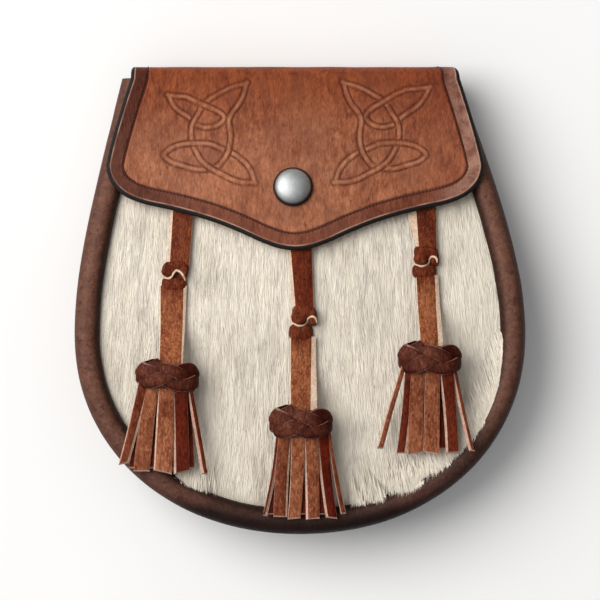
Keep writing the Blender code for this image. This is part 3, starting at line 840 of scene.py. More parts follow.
def flap_relief(inner):
    """How far the sheet's grain side and its flesh side stand off its inner face, and its marks.

    Both faces meet at half the wall along the border, each along a quarter of a circle of the
    distance from it. The tooling and the seam's channel are pressed into the grain side.
    """
    rows, columns, _ = inner.shape
    number = np.arange(rows)[:, None]
    on_flap = number[:, 0] >= BACK_ROWS + FOLD_ROWS
    half = np.linalg.norm(inner[:, -1] - inner[:, 0], axis=-1)[:, None] / 2
    gap = (1 - np.abs(flap_shares())[None, :] + np.zeros((rows, 1))) * half
    gap[~on_flap] = np.minimum(gap[~on_flap], number[~on_flap] * BACK_STEP)
    flat = inner[on_flap][..., :2].reshape(-1, 2)
    gap[on_flap] = distance_to_path(flat, flap_outline())[0].reshape(-1, columns)
    groove, crown = np.zeros(gap.shape), np.zeros(gap.shape)
    groove[on_flap], crown[on_flap] = tooling(inner[on_flap][..., 0], inner[on_flap][..., 1])
    sewn = np.where(number >= BACK_ROWS + 4, 1.0, 0.0)
    seam = np.exp(-(((gap - SEAM_INSET) / SEAM_HALF) ** 2)) * sewn
    ridge = np.exp(-(((gap - SEAM_INSET - RIDGE_OFF) / RIDGE_HALF) ** 2)) * sewn
    swell = noise_field(inner[..., 0], inner[..., 1], 0.011, 0.013, 5) - 0.5
    press = -GROOVE_DEPTH * groove + CROWN_RISE * crown - SEAM_DEPTH * seam + RIDGE_RISE * ridge
    press = press + SWELL_RISE * swell * ease(gap / 0.004)
    round_off = np.sqrt(1 - (1 - np.clip(gap / (SHEET_WALL / 2), 0.0, 1.0)) ** 2)
    out = SHEET_WALL / 2 * (1 + round_off) + press
    inn = SHEET_WALL / 2 * (1 - round_off)
    return out, inn, {"rim_gap": gap * 1000, "tooled": groove, "crown": crown, "seam": seam}


def make_flap(*finishes):
    """The sheet as one closed mesh whose grain side is finer than its flesh side: faces of four
    corners, and then ones of three that close its two ends."""
    inner = sheet_inner()
    normal = grid_normals(inner)
    rows, columns, _ = inner.shape
    out, inn, marks = flap_relief(inner)
    grain_side = inner + normal * out[..., None]
    flesh_side = (inner + normal * inn[..., None])[:, ::-COLUMNS_UNDER]
    under = flesh_side.shape[1]
    count = columns + under
    place = np.arange(rows * count).reshape(rows, count)
    faces = ring_faces(place)
    kinds = np.zeros((rows - 1, count), int)
    kinds[:, columns - 1:] = 1
    across = np.concatenate((np.arange(columns), columns + COLUMNS_UNDER * np.arange(under + 1)))
    u = across / across[-1] * 0.97
    v = np.linspace(0.0, 1.0, rows)
    corners_u = np.stack((u[:-1], u[1:], u[1:], u[:-1]), axis=-1)
    corners_v = np.stack((v[:-1], v[:-1], v[1:], v[1:]), axis=-1)[:, None]
    corners = [np.broadcast_to(corner, faces.shape) for corner in (corners_u, corners_v)]
    laid = [np.stack(corners, axis=-1).ravel()]
    fine = np.arange(columns - 1)
    share = fine / columns
    coarse = place[:, columns:][:, ::-1]
    closing = []
    for row, start in ((0, 0.975), (rows - 1, 0.988)):
        fan = np.stack((place[row, fine], place[row, fine + 1], coarse[row, fine // COLUMNS_UNDER]), -1)
        closing += fan.tolist()
        fan_u = np.broadcast_to(np.array((start, start, start + 0.01)), fan.shape)
        laid.append(np.stack((fan_u, np.stack((share, share + 1 / columns, share), -1)), -1).ravel())
    marks = {
        name: np.concatenate((value, value[:, ::-COLUMNS_UNDER]), axis=1).ravel()
        for name, value in marks.items()
    }
    points = np.concatenate((grain_side, flesh_side), axis=1)
    faces = faces.reshape(-1, 4).tolist() + closing
    made, mesh = make_mesh("tooled_flap", points, faces, np.concatenate(laid), marks, finishes)
    close_mesh(mesh, np.concatenate((kinds.ravel(), np.zeros(len(closing), int))))
    return made


# Distances from the flap's rim in millimetres, each with a start and an end: where the border
# inside the seam begins, both sides of the painted highlight line, and where the black paint stops
BORDER_END = (6.0, 6.6)
HIGHLIGHT_LINE_FROM = (1.3, 1.5)
HIGHLIGHT_LINE_TO = (1.6, 2.0)
PAINT_END = (1.05, 1.35)

# The tan leather's tones, and the flesh side's: dark, light and speck
TAN_TONES = ((0.235, 0.066, 0.027), (0.480, 0.182, 0.090), (0.095, 0.018, 0.007))
FLESH_TONES = ((0.16, 0.075, 0.045), (0.26, 0.13, 0.085), (0.1, 0.045, 0.03))


def flap_tones_and_painted_light(tree, _):
    """Browner patches and dark blotches, darker towards the fold and the right, a duller border
    outside the seam, pale patches in it on the right, pale crowns where it is tooled and dark
    grooves that are partly painted shade, a dark seam, and a black rim with a painted highlight
    inside it."""
    where = object_place(tree)
    parts = add_node(tree, "ShaderNodeSeparateXYZ", {0: where}).outputs
    across, level = parts["X"], parts["Y"]
    gap = mark(tree, "rim_gap")
    brown = span(tree, noise(tree, where, 46.0, 3.0, 0.6), 0.35, 0.7, 0.0, 0.40)
    blotch = span(tree, noise(tree, where, 210.0, 4.0, 0.7), 0.56, 0.72)
    upwards = span(tree, level, 0.03, 0.08, 0.25, 0.8)
    border = span(tree, gap, *BORDER_END, 1.0, 0.0)
    left_side = span(tree, across, -0.066, -0.035, 0.9, 0.0)
    right_side = times(tree, border, span(tree, across, 0.045, 0.070))
    patchy = span(tree, noise(tree, where, 190.0, 4.0, 0.7), 0.36, 0.62, 0.30, 0.95)
    handled = span(tree, noise(tree, where, 260.0), 0.3, 0.7, 0.02, 0.42)
    pressed = span(tree, noise(tree, where, 330.0, 3.0, 0.6), 0.36, 0.62, 0.45, 0.95)
    bevel_highlight = times(tree, span(tree, gap, *HIGHLIGHT_LINE_FROM), span(tree, gap, *HIGHLIGHT_LINE_TO, 1.0, 0.0))
    patch_noise = span(tree, noise(tree, where, 160.0), 0.35, 0.65, 0.25, 0.75)
    wobble = times(tree, noise(tree, where, 700.0), 0.3)
    rim = span(tree, calc(tree, "SUBTRACT", gap, wobble), *PAINT_END, 1.0, 0.0)
    return (
        (brown, (0.27, 0.112, 0.068)),
        (times(tree, blotch, upwards), (0.52, 0.44, 0.50), "MULTIPLY"),
        (span(tree, level, 0.052, 0.086), (0.72, 0.46, 0.28), "MULTIPLY"),
        (span(tree, across, 0.015, 0.066), (0.82, 0.68, 0.60), "MULTIPLY"),
        (times(tree, border, left_side), (0.56, 0.56, 0.62), "MULTIPLY"),
        (times(tree, border, 0.95), (0.52, 0.42, 0.44), "MULTIPLY"),
        (times(tree, right_side, patchy), (0.40, 0.215, 0.155)),
        (times(tree, mark(tree, "crown"), handled), (0.58, 0.27, 0.16)),
        # Dark grooves: the tooled leather's own darkening, deepened as painted shade.
        (times(tree, mark(tree, "tooled"), pressed), (0.075, 0.015, 0.006)),
        (times(tree, mark(tree, "seam"), 0.95), (0.045, 0.008, 0.004)),
        # Painted highlight: a pale line along the bevel just inside the black rim, broken up by noise.
        (times(tree, bevel_highlight, patch_noise), (0.50, 0.30, 0.23)),
        (rim, (0.012, 0.009, 0.008)),
    )


TAN_LEATHER = leather(
    "tan_leather", TAN_TONES, 900.0, 0.0002, (0.55, 0.68), 0.16, (1.45, 0.55, 1.0), 0.30, flap_tones_and_painted_light
)
FLESH_SIDE = leather("flesh_side", FLESH_TONES, 1500.0, 0.00025, (0.75, 0.9), 0.2)

flap = make_flap(TAN_LEATHER, FLESH_SIDE)
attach(flap, "root")
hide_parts("back_and_flap")


# The flap's seam
# Waxed red-brown thread in short slanted stitches, sunk into the pressed channel along the
# sides and the lower edge of the flap.

STITCH_PITCH = 0.00132
STITCH_LENGTH = 0.00125
STITCH_RADIUS = 0.00029
STITCH_SLANT = math.radians(22)


def tubes(paths, radii, sides):
    """Closed threads along many short paths: circles square to each path, drawn to a point at
    both ends, where the radius is nothing."""
    ahead = unit(np.gradient(paths, axis=1))
    across = unit(np.cross(ahead, (0.0, 0.0, 1.0)))
    up = np.cross(across, ahead)
    turn = np.linspace(0.0, 2 * math.pi, sides + 1)
    ring = across[:, :, None] * np.cos(turn)[:, None] + up[:, :, None] * np.sin(turn)[:, None]
    rings = paths[:, :, None] + ring * radii[None, :, None, None]
    return [closed_tube(grid) for grid in rings]


def closed_tube(grid, **marks):
    """A tube from rings whose last point is their first, its map laid out flat."""
    rows, columns, _ = grid.shape
    place = np.arange(rows * columns).reshape(rows, columns)
    faces = np.stack((place[:-1, :-1], place[:-1, 1:], place[1:, 1:], place[1:, :-1]), axis=-1)
    u, v = np.meshgrid(np.linspace(0, 1, columns), np.linspace(0, 1, rows))
    laid = np.stack((u, v), axis=-1).reshape(-1, 2)
    faces = faces.reshape(-1, 4)
    return {
        "points": grid.reshape(-1, 3),
        "faces": faces,
        "map": laid[faces],
        "kinds": np.zeros(len(faces), int),
        "marks": {name: value.ravel() for name, value in marks.items()},
    }


def even_steps(path, pitch):
    """Points a pitch apart along a line, and the line's direction at each."""
    length = np.concatenate(((0.0,), np.cumsum(np.linalg.norm(np.diff(path, axis=0), axis=1))))
    at = np.arange(pitch / 2, length[-1], pitch)
    points = np.stack([np.interp(at, length, path[:, i]) for i in range(path.shape[1])], axis=-1)
    return points, unit(np.gradient(points, axis=0))


def seam_path():
    """The channel's floor: up each side over the fold, and inside the border by the inset."""
    border = flap_outline()
    ahead = unit(np.gradient(border, axis=0))
    line = border + SEAM_INSET * np.stack((-ahead[:, 1], ahead[:, 0]), axis=-1)
    line = line[line[:, 1] < END_LEVEL - 0.0003]
    height = flap_top(line[:, 0], line[:, 1])
    down = np.concatenate((line, height[:, None]), axis=1)
    reach = 1 - SEAM_INSET / (FLAP_TOP_WIDTH / 2)
    turn = np.linspace(0.45 * math.pi, 0.97 * math.pi, 12)
    left = fold_place(-reach, turn, SHEET_WALL)
    right = fold_place(reach, turn[::-1], SHEET_WALL)
    return np.concatenate((left, down, right))


def seam_stitches(path, pitch, length, radius, slant, sink):
    """Stitches along a path: each lies slanted in the channel, dipping in at both ends."""
    points, ahead = even_steps(path, pitch)
    across = np.cross(ahead, (0.0, 0.0, 1.0))
    way = ahead * math.cos(slant) + across * math.sin(slant)
    along = np.array((-0.5, -0.42, -0.2, 0.2, 0.42, 0.5))
    dip = np.array((1.0, 0.6, 0.1, 0.1, 0.6, 1.0))
    radii = radius * np.array((0.0, 0.75, 1.0, 1.0, 0.75, 0.0))
    paths = points[:, None] + way[:, None] * (length * along)[None, :, None]
    up = np.cross(across, ahead)
    paths = paths - up[:, None] * (sink + radius * dip)[None, :, None]
    return tubes(paths, radii, 6)


THREAD_TONES = ((0.040, 0.008, 0.004), (0.09, 0.018, 0.009), (0.02, 0.005, 0.003))
WAXED_THREAD = leather("waxed_thread", THREAD_TONES, 2600.0, 0.00005, (0.5, 0.6), 0.3)
stitches = seam_stitches(
    seam_path(), STITCH_PITCH, STITCH_LENGTH, STITCH_RADIUS, STITCH_SLANT, SEAM_DEPTH * 0.25
)
flap_stitches = make_piece("flap_stitches", stitches, WAXED_THREAD)
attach(flap_stitches, "root")


# The hair hide
# A panel of cream calf hide with its hair on. Its skin is tucked under the front roll and comes
# up to the mouth's edge, and it domes over the stuffing room of the pouch.

NAP = 0.0011
SKIN_WALL = 0.0018
SKIN_COLUMNS = 61
SKIN_ROWS = 61


def skin_grid(drop):
    """The skin below the nap by the drop: a dome inside the roll's lip, and a flat border out
    to the rim under the roll."""
    share = np.linspace(-1.0, 1.0, SKIN_COLUMNS)[None, :]
    down = np.linspace(1.0, 0.0, SKIN_ROWS)[:, None]
    level = MOUTH_LEVEL + down * (base_of_column(share, LIP_INSET) - MOUTH_LEVEL)
    across = share * half_width(level, LIP_INSET) + lean(level)
    base_across = share * half_width(WIDEST_LEVEL, RIM_INSET)
    across = np.concatenate((base_across, across))
    level = np.concatenate((base_of_column(share, RIM_INSET), level))
    side_level = level[:, :1]
    reach = half_width(side_level, RIM_INSET)
    across = np.concatenate((lean(side_level) - reach, across, lean(side_level) + reach), axis=1)
    level = np.concatenate((side_level, level, side_level), axis=1)
    return np.stack((across, level, hide_top(across, level) - drop), axis=-1)


def hair_streak_group():
    """Streaks along the hair: 1 where it is grey-beige, and finer lines of light and dark."""
    group, given, out = make_group(
        "hair_streaks", (("Vector", "NodeSocketVector"),), ("Grey", "Lines")
    )
    long = stretched(group, given.outputs["Vector"], (1.0, 0.16, 1.0))
    short = stretched(group, given.outputs["Vector"], (1.0, 0.3, 1.0))
    narrow = noise(group, long, 420.0, 3.0, 0.6)
    grey = weighed(group, narrow, 0.6, noise(group, short, 90.0, 3.0, 0.6))
    group.links.new(span(group, grey, 0.44, 0.68), out.inputs["Grey"])
    group.links.new(noise(group, long, 2600.0, 2.0, 0.6), out.inputs["Lines"])
    return group


HAIR_STREAKS = hair_streak_group()


def hair_material(name, cream, grey, strength, roughness):
    """Cream hair with grey-beige streaks, each hair a little lighter or darker than the next, and
    darker towards its root as painted shade.
    """
    material, tree, shader = new_material(name)
    feeds = {"Vector": object_place(tree)}
    streaks = add_node(tree, "ShaderNodeGroup", feeds, node_tree=HAIR_STREAKS).outputs
    layers = (
        (calc(tree, "MULTIPLY|", streaks["Grey"], strength), grey),
        (span(tree, mark(tree, "tone"), 0.0, 1.0, 0.0, 0.5), (0.62, 0.56, 0.48), "MULTIPLY"),
        # Painted shade: each hair darker towards its root, where the hairs shade each other.
        (span(tree, mark(tree, "reach"), 0.0, 0.4, 0.3, 0.0), (0.55, 0.47, 0.38), "MULTIPLY"),
    )
    tree.links.new(layered(tree, (*cream, 1), layers), shader.inputs["Base Color"])
    rough = span(tree, streaks["Lines"], 0.3, 0.7, *roughness)
    tree.links.new(rough, shader.inputs["Roughness"])
    raise_surface(tree, shader, streaks["Lines"], 0.0001)
    shader.inputs["Specular IOR Level"].default_value = 0.3
    return material


CREAM_SKIN = hair_material("cream_skin", (0.74, 0.66, 0.54), (0.5, 0.44, 0.37), 0.8, (0.7, 0.9))
CREAM_HAIR = hair_material("cream_hair", (0.93, 0.86, 0.74), (0.66, 0.60, 0.52), 0.8, (0.5, 0.66))

hide_slab = slab(skin_grid(NAP), skin_grid(NAP + SKIN_WALL))
skin = make_piece("hair_hide_skin", [hide_slab], CREAM_SKIN, CREAM_SKIN)
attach(skin, "root")
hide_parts("front_panel")


# The hair
# Short straight calf hair that lies down the hide and fans out towards the bottom roll, where
# its tips lie over the bead. Every hair is a thin tapered ribbon, gathered into small locks.

HAIR_SEED = 41
LOCK_CELL = 0.0021
ROLL_GAP = 0.0001
HAIR_TOP_LEVEL = 0.068
HAIR_TUCK = 0.010
ROOT_SINK = 0.00005
SHORTEST_HAIR = 0.0008
TIP_PAST_LIP = 0.0004
REACH_OVER_BEAD = 0.0006

# How hairs turn aside, in radians: by their place across, more so below the fan's start, by
# their neighbourhood, and each one by chance
FAN_ALL = 0.07
FAN_LOW = 0.24
FAN_PATCH = 0.26
FAN_STRAY = 0.085
FAN_START = 0.012
FAN_LENGTH = 0.075

# The two steps of an even spread over a square, which are powers of one share
SPREAD_STEPS = (0.7548776662, 0.5698402910)

# Where tufts reach furthest over the roll: direction from the widest level's middle and width,
# in degrees, and strength
LOOSE_TUFTS = ((-30, 12, 0.35), (-48, 10, 1.0), (-66, 9, 0.7), (-129, 8, 0.45))
TUFT_REACH = 0.0044

# Hairs on the right reach a little over the roll everywhere: direction, width, metres
RIGHT_OVERHANG = (-20, 20, 0.0017)
LEAST_OVERHANG = 0.0001


def inset_at(across, level):
    """How far a place lies inside the outline: across the sides, and along the radius below."""
    side = np.abs(across - lean(level))
    slant = half_width(level, 0.0) - half_width(level, 1.0)
    beside = (half_width(level, 0.0) - side) / slant
    drop = np.clip(WIDEST_LEVEL - level, 0.0, None)
    reach = (2 * side / BODY_WIDTH) ** ROUND_POWER + (drop / WIDEST_HEIGHT) ** ROUND_POWER
    reach = np.maximum(reach ** (1 / ROUND_POWER), 1e-6)
    below = np.hypot(side, drop) / reach * (1 - reach)
    return np.where(level < WIDEST_LEVEL, below, beside)


def roll_top(across, level):
    """Height of the front bead's skin over a place, or far below where there is none."""
    inset = inset_at(across, level)
    away = np.clip(np.abs(inset - ROLL_RADIUS) / ROLL_RADIUS, 0.0, 1.0)
    height = crest(level) - ROLL_RISE * (1 - np.sqrt(1 - away**2))
    return np.where(away < 1, height, -1.0)


def hair_roots(count, rng):
    """Places inside the lip and below the flap's edge, spread evenly from a seeded start."""
    spread = (rng.random(2) + np.arange(1, 3 * count + 1)[:, None] * SPREAD_STEPS) % 1
    across = (spread[:, 0] - 0.5) * BODY_WIDTH
    level = BASE_LEVEL + spread[:, 1] * (HAIR_TOP_LEVEL - BASE_LEVEL)
    share = np.clip((across - FLAP_SHIFT) / (FLAP_WIDTH / 2), -1, 1)
    inside = inset_at(across, level) > LIP_INSET - 0.0001
    kept = inside & (level < flap_edge(share) + HAIR_TUCK)
    return across[kept][:count], level[kept][:count]


def around(turn, middle, width):
    """A bell curve: e to the power of less the square of the way from its middle in widths."""
    return np.exp(-(((turn - middle) / width) ** 2))


def tuft_reach(turn, rng):
    """How far a hair may reach over the roll, by the direction in which it lies."""
    loose = sum(strength * around(turn, middle, width) for middle, width, strength in LOOSE_TUFTS)
    tuft = noise_field(turn / 1000, 0 * turn, 0.0012, 1.0, 57)
    middle, width, overhang = RIGHT_OVERHANG
    reach = LEAST_OVERHANG + overhang * around(turn, middle, width)
    return reach + TUFT_REACH * loose * tuft**2.2 * (0.4 + 0.6 * rng.random(len(turn)))


def hair_heights(flat, raise_by, along, may_rise):
    """Heights along each hair: over the skin, or in a straight bridge over the bead where its
    tip lies past the lip and it may rise."""
    skin_height = hide_top(flat[..., 0], flat[..., 1]) - NAP - ROOT_SINK
    bead_height = roll_top(flat[..., 0], flat[..., 1]) + ROLL_GAP
    height = np.maximum(skin_height, bead_height)
    tip_inset = inset_at(flat[:, -1, 0], flat[:, -1, 1])[:, None]
    over_bead = (tip_inset < LIP_INSET - TIP_PAST_LIP) & may_rise[:, None]
    bridge = height[:, :1] + (height[:, -1:] - height[:, :1]) * along
    return np.where(over_bead, np.maximum(height, bridge), skin_height) + raise_by


# Along a hair from its root to its tip: share of its length, of its lift and of its width
HAIR_ALONG = (0.0, 0.34, 0.7, 1.0)
HAIR_LIFT = (0.0, 0.75, 1.0, 0.7)
HAIR_TAPER = (0.8, 1.0, 0.72, 0.0)


def hair_ribbons(count, seed, length, width, lift):
    """Points of tapered ribbons: three pairs and a tip for every hair, with its marks.

    A hair runs down, fans outwards low on the hide, and bends to its lock's middle at its tip.
    It stops at the roll or reaches over it as far as its tuft does.
    """
    rng = np.random.default_rng(seed)
    across, level = hair_roots(count, rng)
    count = len(across)
    side = (across - lean(level)) / half_width(level, 0.0)
    low = ease((FAN_START - level) / FAN_LENGTH)
    turn = np.degrees(np.arctan2(level - WIDEST_LEVEL, across))
    bend = noise_field(across, level, 0.014, 0.02, seed + 1) - 0.5
    angle = FAN_ALL * side + FAN_LOW * side * low + FAN_PATCH * bend
    angle = angle + rng.normal(0.0, FAN_STRAY, count)
    way = np.stack((np.sin(angle), -np.cos(angle)), axis=-1)
    long = length * (0.72 + 0.5 * rng.random(count))
    start = np.stack((across, level), axis=-1)
    for share in (1.0, 0.8):
        tip = start + way * long[:, None]
        over = LIP_INSET - inset_at(tip[:, 0], tip[:, 1])
        most = tuft_reach(turn, rng)
        long = np.maximum(long - np.clip(over - most, 0.0, None) * share, SHORTEST_HAIR)
    waver = noise_field(across, level, 0.004, 0.007, seed + 2)[:, None] * 1.5
    lock = (np.floor(start / LOCK_CELL + waver) + 0.5) * LOCK_CELL
    pull = (lock - start) * (0.25 + 0.45 * rng.random(count))[:, None]
    pull -= way * np.sum(pull * way, axis=1, keepdims=True)
    along = np.array(HAIR_ALONG)
    flat = start[:, None] + way[:, None] * (long[:, None] * along)[..., None]
    flat = flat + pull[:, None] * (along**1.6)[None, :, None]
    spill = LIP_INSET - inset_at(flat[..., 0], flat[..., 1]) - most[:, None]
    flat[..., 0] -= np.sign(side)[:, None] * np.clip(spill, 0.0, None)
    raise_by = lift * (0.35 + rng.random(count))[:, None] * HAIR_LIFT
    raise_by = raise_by * np.clip(long / length, 0.25, 1.0)[:, None]
    height = hair_heights(flat, raise_by, along, most > REACH_OVER_BEAD)
    roll = rng.normal(0.0, 0.16, count)
    square = np.stack((way[:, 1], -way[:, 0]), axis=-1) * -np.cos(roll)[:, None]
    square = np.concatenate((square, np.sin(roll)[:, None]), axis=1)
    wide = width * (0.7 + 0.6 * rng.random(count))[:, None] * HAIR_TAPER / 2
    middle = np.concatenate((flat, height[..., None]), axis=-1)
    left = middle - square[:, None] * wide[..., None]
    right = middle + square[:, None] * wide[..., None]
    points = np.stack((left, right), axis=2).reshape(count, 8, 3)[:, :7]
    patch = noise_field(across, level, 0.0035, 0.013, seed + 3)
    tone = np.clip(0.28 + 0.6 * (patch - 0.5) + rng.normal(0.0, 0.14, count), 0.0, 1.0)
    reach = np.tile(np.repeat(HAIR_ALONG, 2)[:7], count)
    return points, {"tone": np.repeat(tone, 7), "reach": reach}


# A ribbon's corners in its cell of the map, in pairs up to its tip, and its faces
RIBBON_U = (0.1, 0.9, 0.1, 0.9, 0.15, 0.85, 0.5)
RIBBON_V = (0.05, 0.05, 0.35, 0.35, 0.7, 0.7, 0.95)
RIBBON_FACES = ((0, 1, 3, 2), (2, 3, 5, 4), (4, 5, 6))


def make_hair(name, points, marks, finish):
    """A mesh of ribbons, their faces up, each laid in its own cell of OFBake."""
    number = np.arange(len(points))
    bases = (number * 7).tolist()
    faces = [[base + corner for corner in face] for base in bases for face in RIBBON_FACES]
    side = math.ceil(math.sqrt(len(points)))
    cell = np.stack((number % side, number // side), axis=-1)[:, None]
    laid = (cell + np.stack((RIBBON_U, RIBBON_V), axis=-1)) / side
    order = [corner for face in RIBBON_FACES for corner in face]
    made, _ = make_mesh(name, points, faces, laid[:, order].ravel(), marks, (finish,))
    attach(made, "root")


# Each coat: how many hairs, its seed, and the hairs' length, width and lift off the skin
HAIR_COATS = {
    "hair_undercoat": (26000, HAIR_SEED, 0.0085, 0.00062, 0.0002),
    "hair_coat": (39000, HAIR_SEED + 10, 0.0125, 0.00040, 0.0004),
    "hair_topcoat": (34000, HAIR_SEED + 20, 0.0140, 0.00028, 0.0006),
}
for name, coat in HAIR_COATS.items():
    make_hair(name, *hair_ribbons(*coat), CREAM_HAIR)


# The press stud
# A domed nickel cap riveted through the flap, over a stud riveted through the hide. The cap is
# brushed, and its rim is dark, partly where polish has gathered under it and partly as painted shade.

SNAP_RADIUS = 0.0075
SNAP_DOME = 0.0034
SNAP_RIM = 0.001
SNAP_RISE = 0.0237
SNAP_SHIFT = -0.0009
CAP_SIDES = 96
CAP_BEAD = 0.0006
CAP_BEAD_RISE = 0.0007
CAP_GAP = 0.0001


def satin_nickel(name, colour, roughness):
    """Brushed nickel: fine scratches, duller spots, and where the mesh is marked a dark rim, partly
    tarnish and partly painted shade.
    """
    material, tree, shader = new_material(name)
    where = object_place(tree)
    fine = noise(tree, where, 5200.0, 3.0, 0.7)
    layers = (
        (span(tree, noise(tree, where, 420.0, 3.0, 0.6), 0.3, 0.7), [0.86 * c for c in colour]),
        (span(tree, mark(tree, "rim_dark"), 0.0, 1.0), (0.03, 0.028, 0.026)),
    )
    tree.links.new(layered(tree, (*colour, 1), layers), shader.inputs["Base Color"])
    tree.links.new(span(tree, fine, 0.2, 0.8, *roughness), shader.inputs["Roughness"])
    lines = noise(tree, stretched(tree, where, (9000.0, 700.0, 700.0)), 1.0)
    raise_surface(tree, shader, weighed(tree, lines, 0.6, fine), 0.00002)
    shader.inputs["Metallic"].default_value = 1.0
    return material


def snap_axis():
    """Where the stud's axis meets the flap's lower face, and the three directions there."""
    across = FLAP_SHIFT + SNAP_SHIFT
    level = TOP_LEVEL - FLAP_DROP + SNAP_RISE
    step = SNAP_RADIUS / 2
    tilt_x, tilt_y = flap_tilt(across, level, step)
    axis = unit(np.array((-float(tilt_x), -float(tilt_y), 2 * step)))
    right = unit(np.cross((0.0, 1.0, 0.0), axis))
    foot = np.array((across, level, float(flap_underside(across, level))))
    return foot, right, np.cross(axis, right), axis


def turned_grid(profile, sides):
    """A profile of radii and heights turned about the stud's axis, rings down the rows."""
    place, right, away, axis = snap_axis()
    turn = np.linspace(0.0, 2 * math.pi, sides + 1)
    radius, height = np.array(profile).T
    spoke = np.cos(turn)[:, None] * right + np.sin(turn)[:, None] * away
    return place + radius[:, None, None] * spoke + height[:, None, None] * axis


def cap_profile():
    """A low dome, rolled over its rim to the flap: an elliptic arc that falls off faster near
    the rim, by the eighth power of the share, and then the arc of a small round bead."""
    seat = SHEET_WALL + CAP_GAP
    share = np.linspace(0.0, 1.0, 26)
    dome = seat + SNAP_RIM + SNAP_DOME * np.sqrt(1 - 0.96 * share * share)
    top = np.stack((SNAP_RADIUS * 0.955 * share, dome - SNAP_DOME * 0.16 * share**8), axis=-1)
    turn = np.radians(np.linspace(35, -90, 8))
    radius = SNAP_RADIUS - CAP_BEAD + CAP_BEAD * np.cos(turn)
    bead = np.stack((radius, seat + CAP_BEAD_RISE + CAP_BEAD * np.sin(turn)), axis=-1)
    return np.concatenate((top, bead, ((SNAP_RADIUS * 0.86, seat), (0.0, seat))))


SATIN_NICKEL = satin_nickel("satin_nickel_cap", (0.49, 0.51, 0.505), (0.46, 0.56))
STUD_NICKEL = satin_nickel("satin_nickel_stud", (0.5, 0.5, 0.48), (0.35, 0.5))

# How dark each ring of the cap is: clean over the dome, and from its rim outwards tarnished and
# darkened with painted shade
rim_dark = np.array([0.0] * 22 + [0.1, 0.4, 0.75, 0.9] + [0.95] * 10)
rim_dark = rim_dark[:, None] + np.zeros((1, CAP_SIDES + 1))
cap = closed_tube(turned_grid(cap_profile(), CAP_SIDES), rim_dark=rim_dark)
snap_cap = make_piece("nickel_snap_cap", [cap], SATIN_NICKEL, crease=60.0)
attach(snap_cap, "root")
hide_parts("snap_cap")
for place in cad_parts["snap_stud"].material_slots:
    place.material = STUD_NICKEL


# The belt loops
# Two plain strips of dark leather on the back, sewn down at both ends, so that a belt slides
# between them and the back. They are hidden in the photograph.

LOOP_SPACING = 0.064
LOOP_LEVEL = 0.030
LOOP_WIDTH = 0.022
LOOP_LENGTH = 0.054
LOOP_TAB = 0.009
LOOP_BEND = 0.005
LOOP_WALL = 0.0016
LOOP_FLOOR_GAP = 0.0008

# The loops' stitches: pitch, length, thread's radius, slant, and how far they sink in
LOOP_STITCHES = (0.0024, 0.0019, 0.00026, 0.0, -0.00012)
LOOP_STITCH_INSETS = (0.0022, 0.0062)


def strip_along(line, across, up):
    """A loop's two faces along a line, level across and rounded off at both edges, where the
    wall thins by the square of the way over the outer part."""
    share = np.linspace(-1.0, 1.0, 7)
    share = np.sign(share) * (1 - (1 - np.abs(share)) ** 1.4)
    drop = 0.22 * np.clip((np.abs(share) - 0.72) / 0.28, 0, 1) ** 2
    sides = line[:, None] + across * share[None, :, None] * (LOOP_WIDTH / 2)
    top = sides + up[:, None] * LOOP_WALL * (1 - drop)[None, :, None]
    bottom = sides + up[:, None] * LOOP_WALL * drop[None, :, None]
    return top, bottom


def belt_loop(across):
    """A loop's strip along the back: on it at both ends, and standing off it in the middle."""
    top = BACK_RECESS - CLEARANCE
    low = LOOP_FLOOR_GAP + LOOP_WALL
    half = LOOP_LENGTH / 2
    level = np.linspace(-half, half, 49)
    way = ease((half - LOOP_TAB - np.abs(level)) / LOOP_BEND)
    height = top + (low - top) * way
    line = np.stack((np.full(level.shape, across), LOOP_LEVEL + level, height), axis=-1)
    ahead = unit(np.gradient(line, axis=0))
    side = np.array((1.0, 0.0, 0.0))
    return strip_along(line, side, np.cross(ahead, side))


def loop_stitches(across):
    """Two rows of thread across each sewn end, under the loop's outer face."""
    found = []
    under = BACK_RECESS - CLEARANCE - LOOP_WALL
    for end in (-1, 1):
        for inset in LOOP_STITCH_INSETS:
            level = LOOP_LEVEL + end * (LOOP_LENGTH / 2 - inset)
            row = across + np.linspace(-0.42, 0.42, 30)[::-1] * LOOP_WIDTH
            path = np.stack((row, np.full(row.shape, level), np.full(row.shape, under)), axis=-1)
            found += seam_stitches(path, *LOOP_STITCHES)
    return found


LOOP_TONES = ((0.060, 0.026, 0.018), (0.125, 0.060, 0.043), (0.03, 0.012, 0.008))
LOOP_LEATHER = leather("loop_leather", LOOP_TONES, 950.0, 0.00014, (0.45, 0.58), 0.35)
for side_name, across in (("left", -LOOP_SPACING / 2), ("right", LOOP_SPACING / 2)):
    strip = slab(*belt_loop(across))
    loop = make_piece("belt_strip_" + side_name, [strip], LOOP_LEATHER, ROLLED_LEATHER_EDGE)
    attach(loop, "root")
    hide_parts("belt_loop_" + side_name)
    thread = make_piece("belt_stitches_" + side_name, loop_stitches(across), WAXED_THREAD)
    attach(thread, "root")


# The tassel straps
# Flat straps cut from russet leather, with pale raw edges. Half way down, each strap is pulled
# through its own slit, which makes a soft folded knot with a pale curled lip.

STRAP_WALL = 0.0018
HEAD_LENGTH = 0.0148
HEAD_WIDTH = 0.0236
HEAD_THICKNESS = 0.0115
KNOT_STEP = 0.00038
LIP_RADIUS = 0.00044

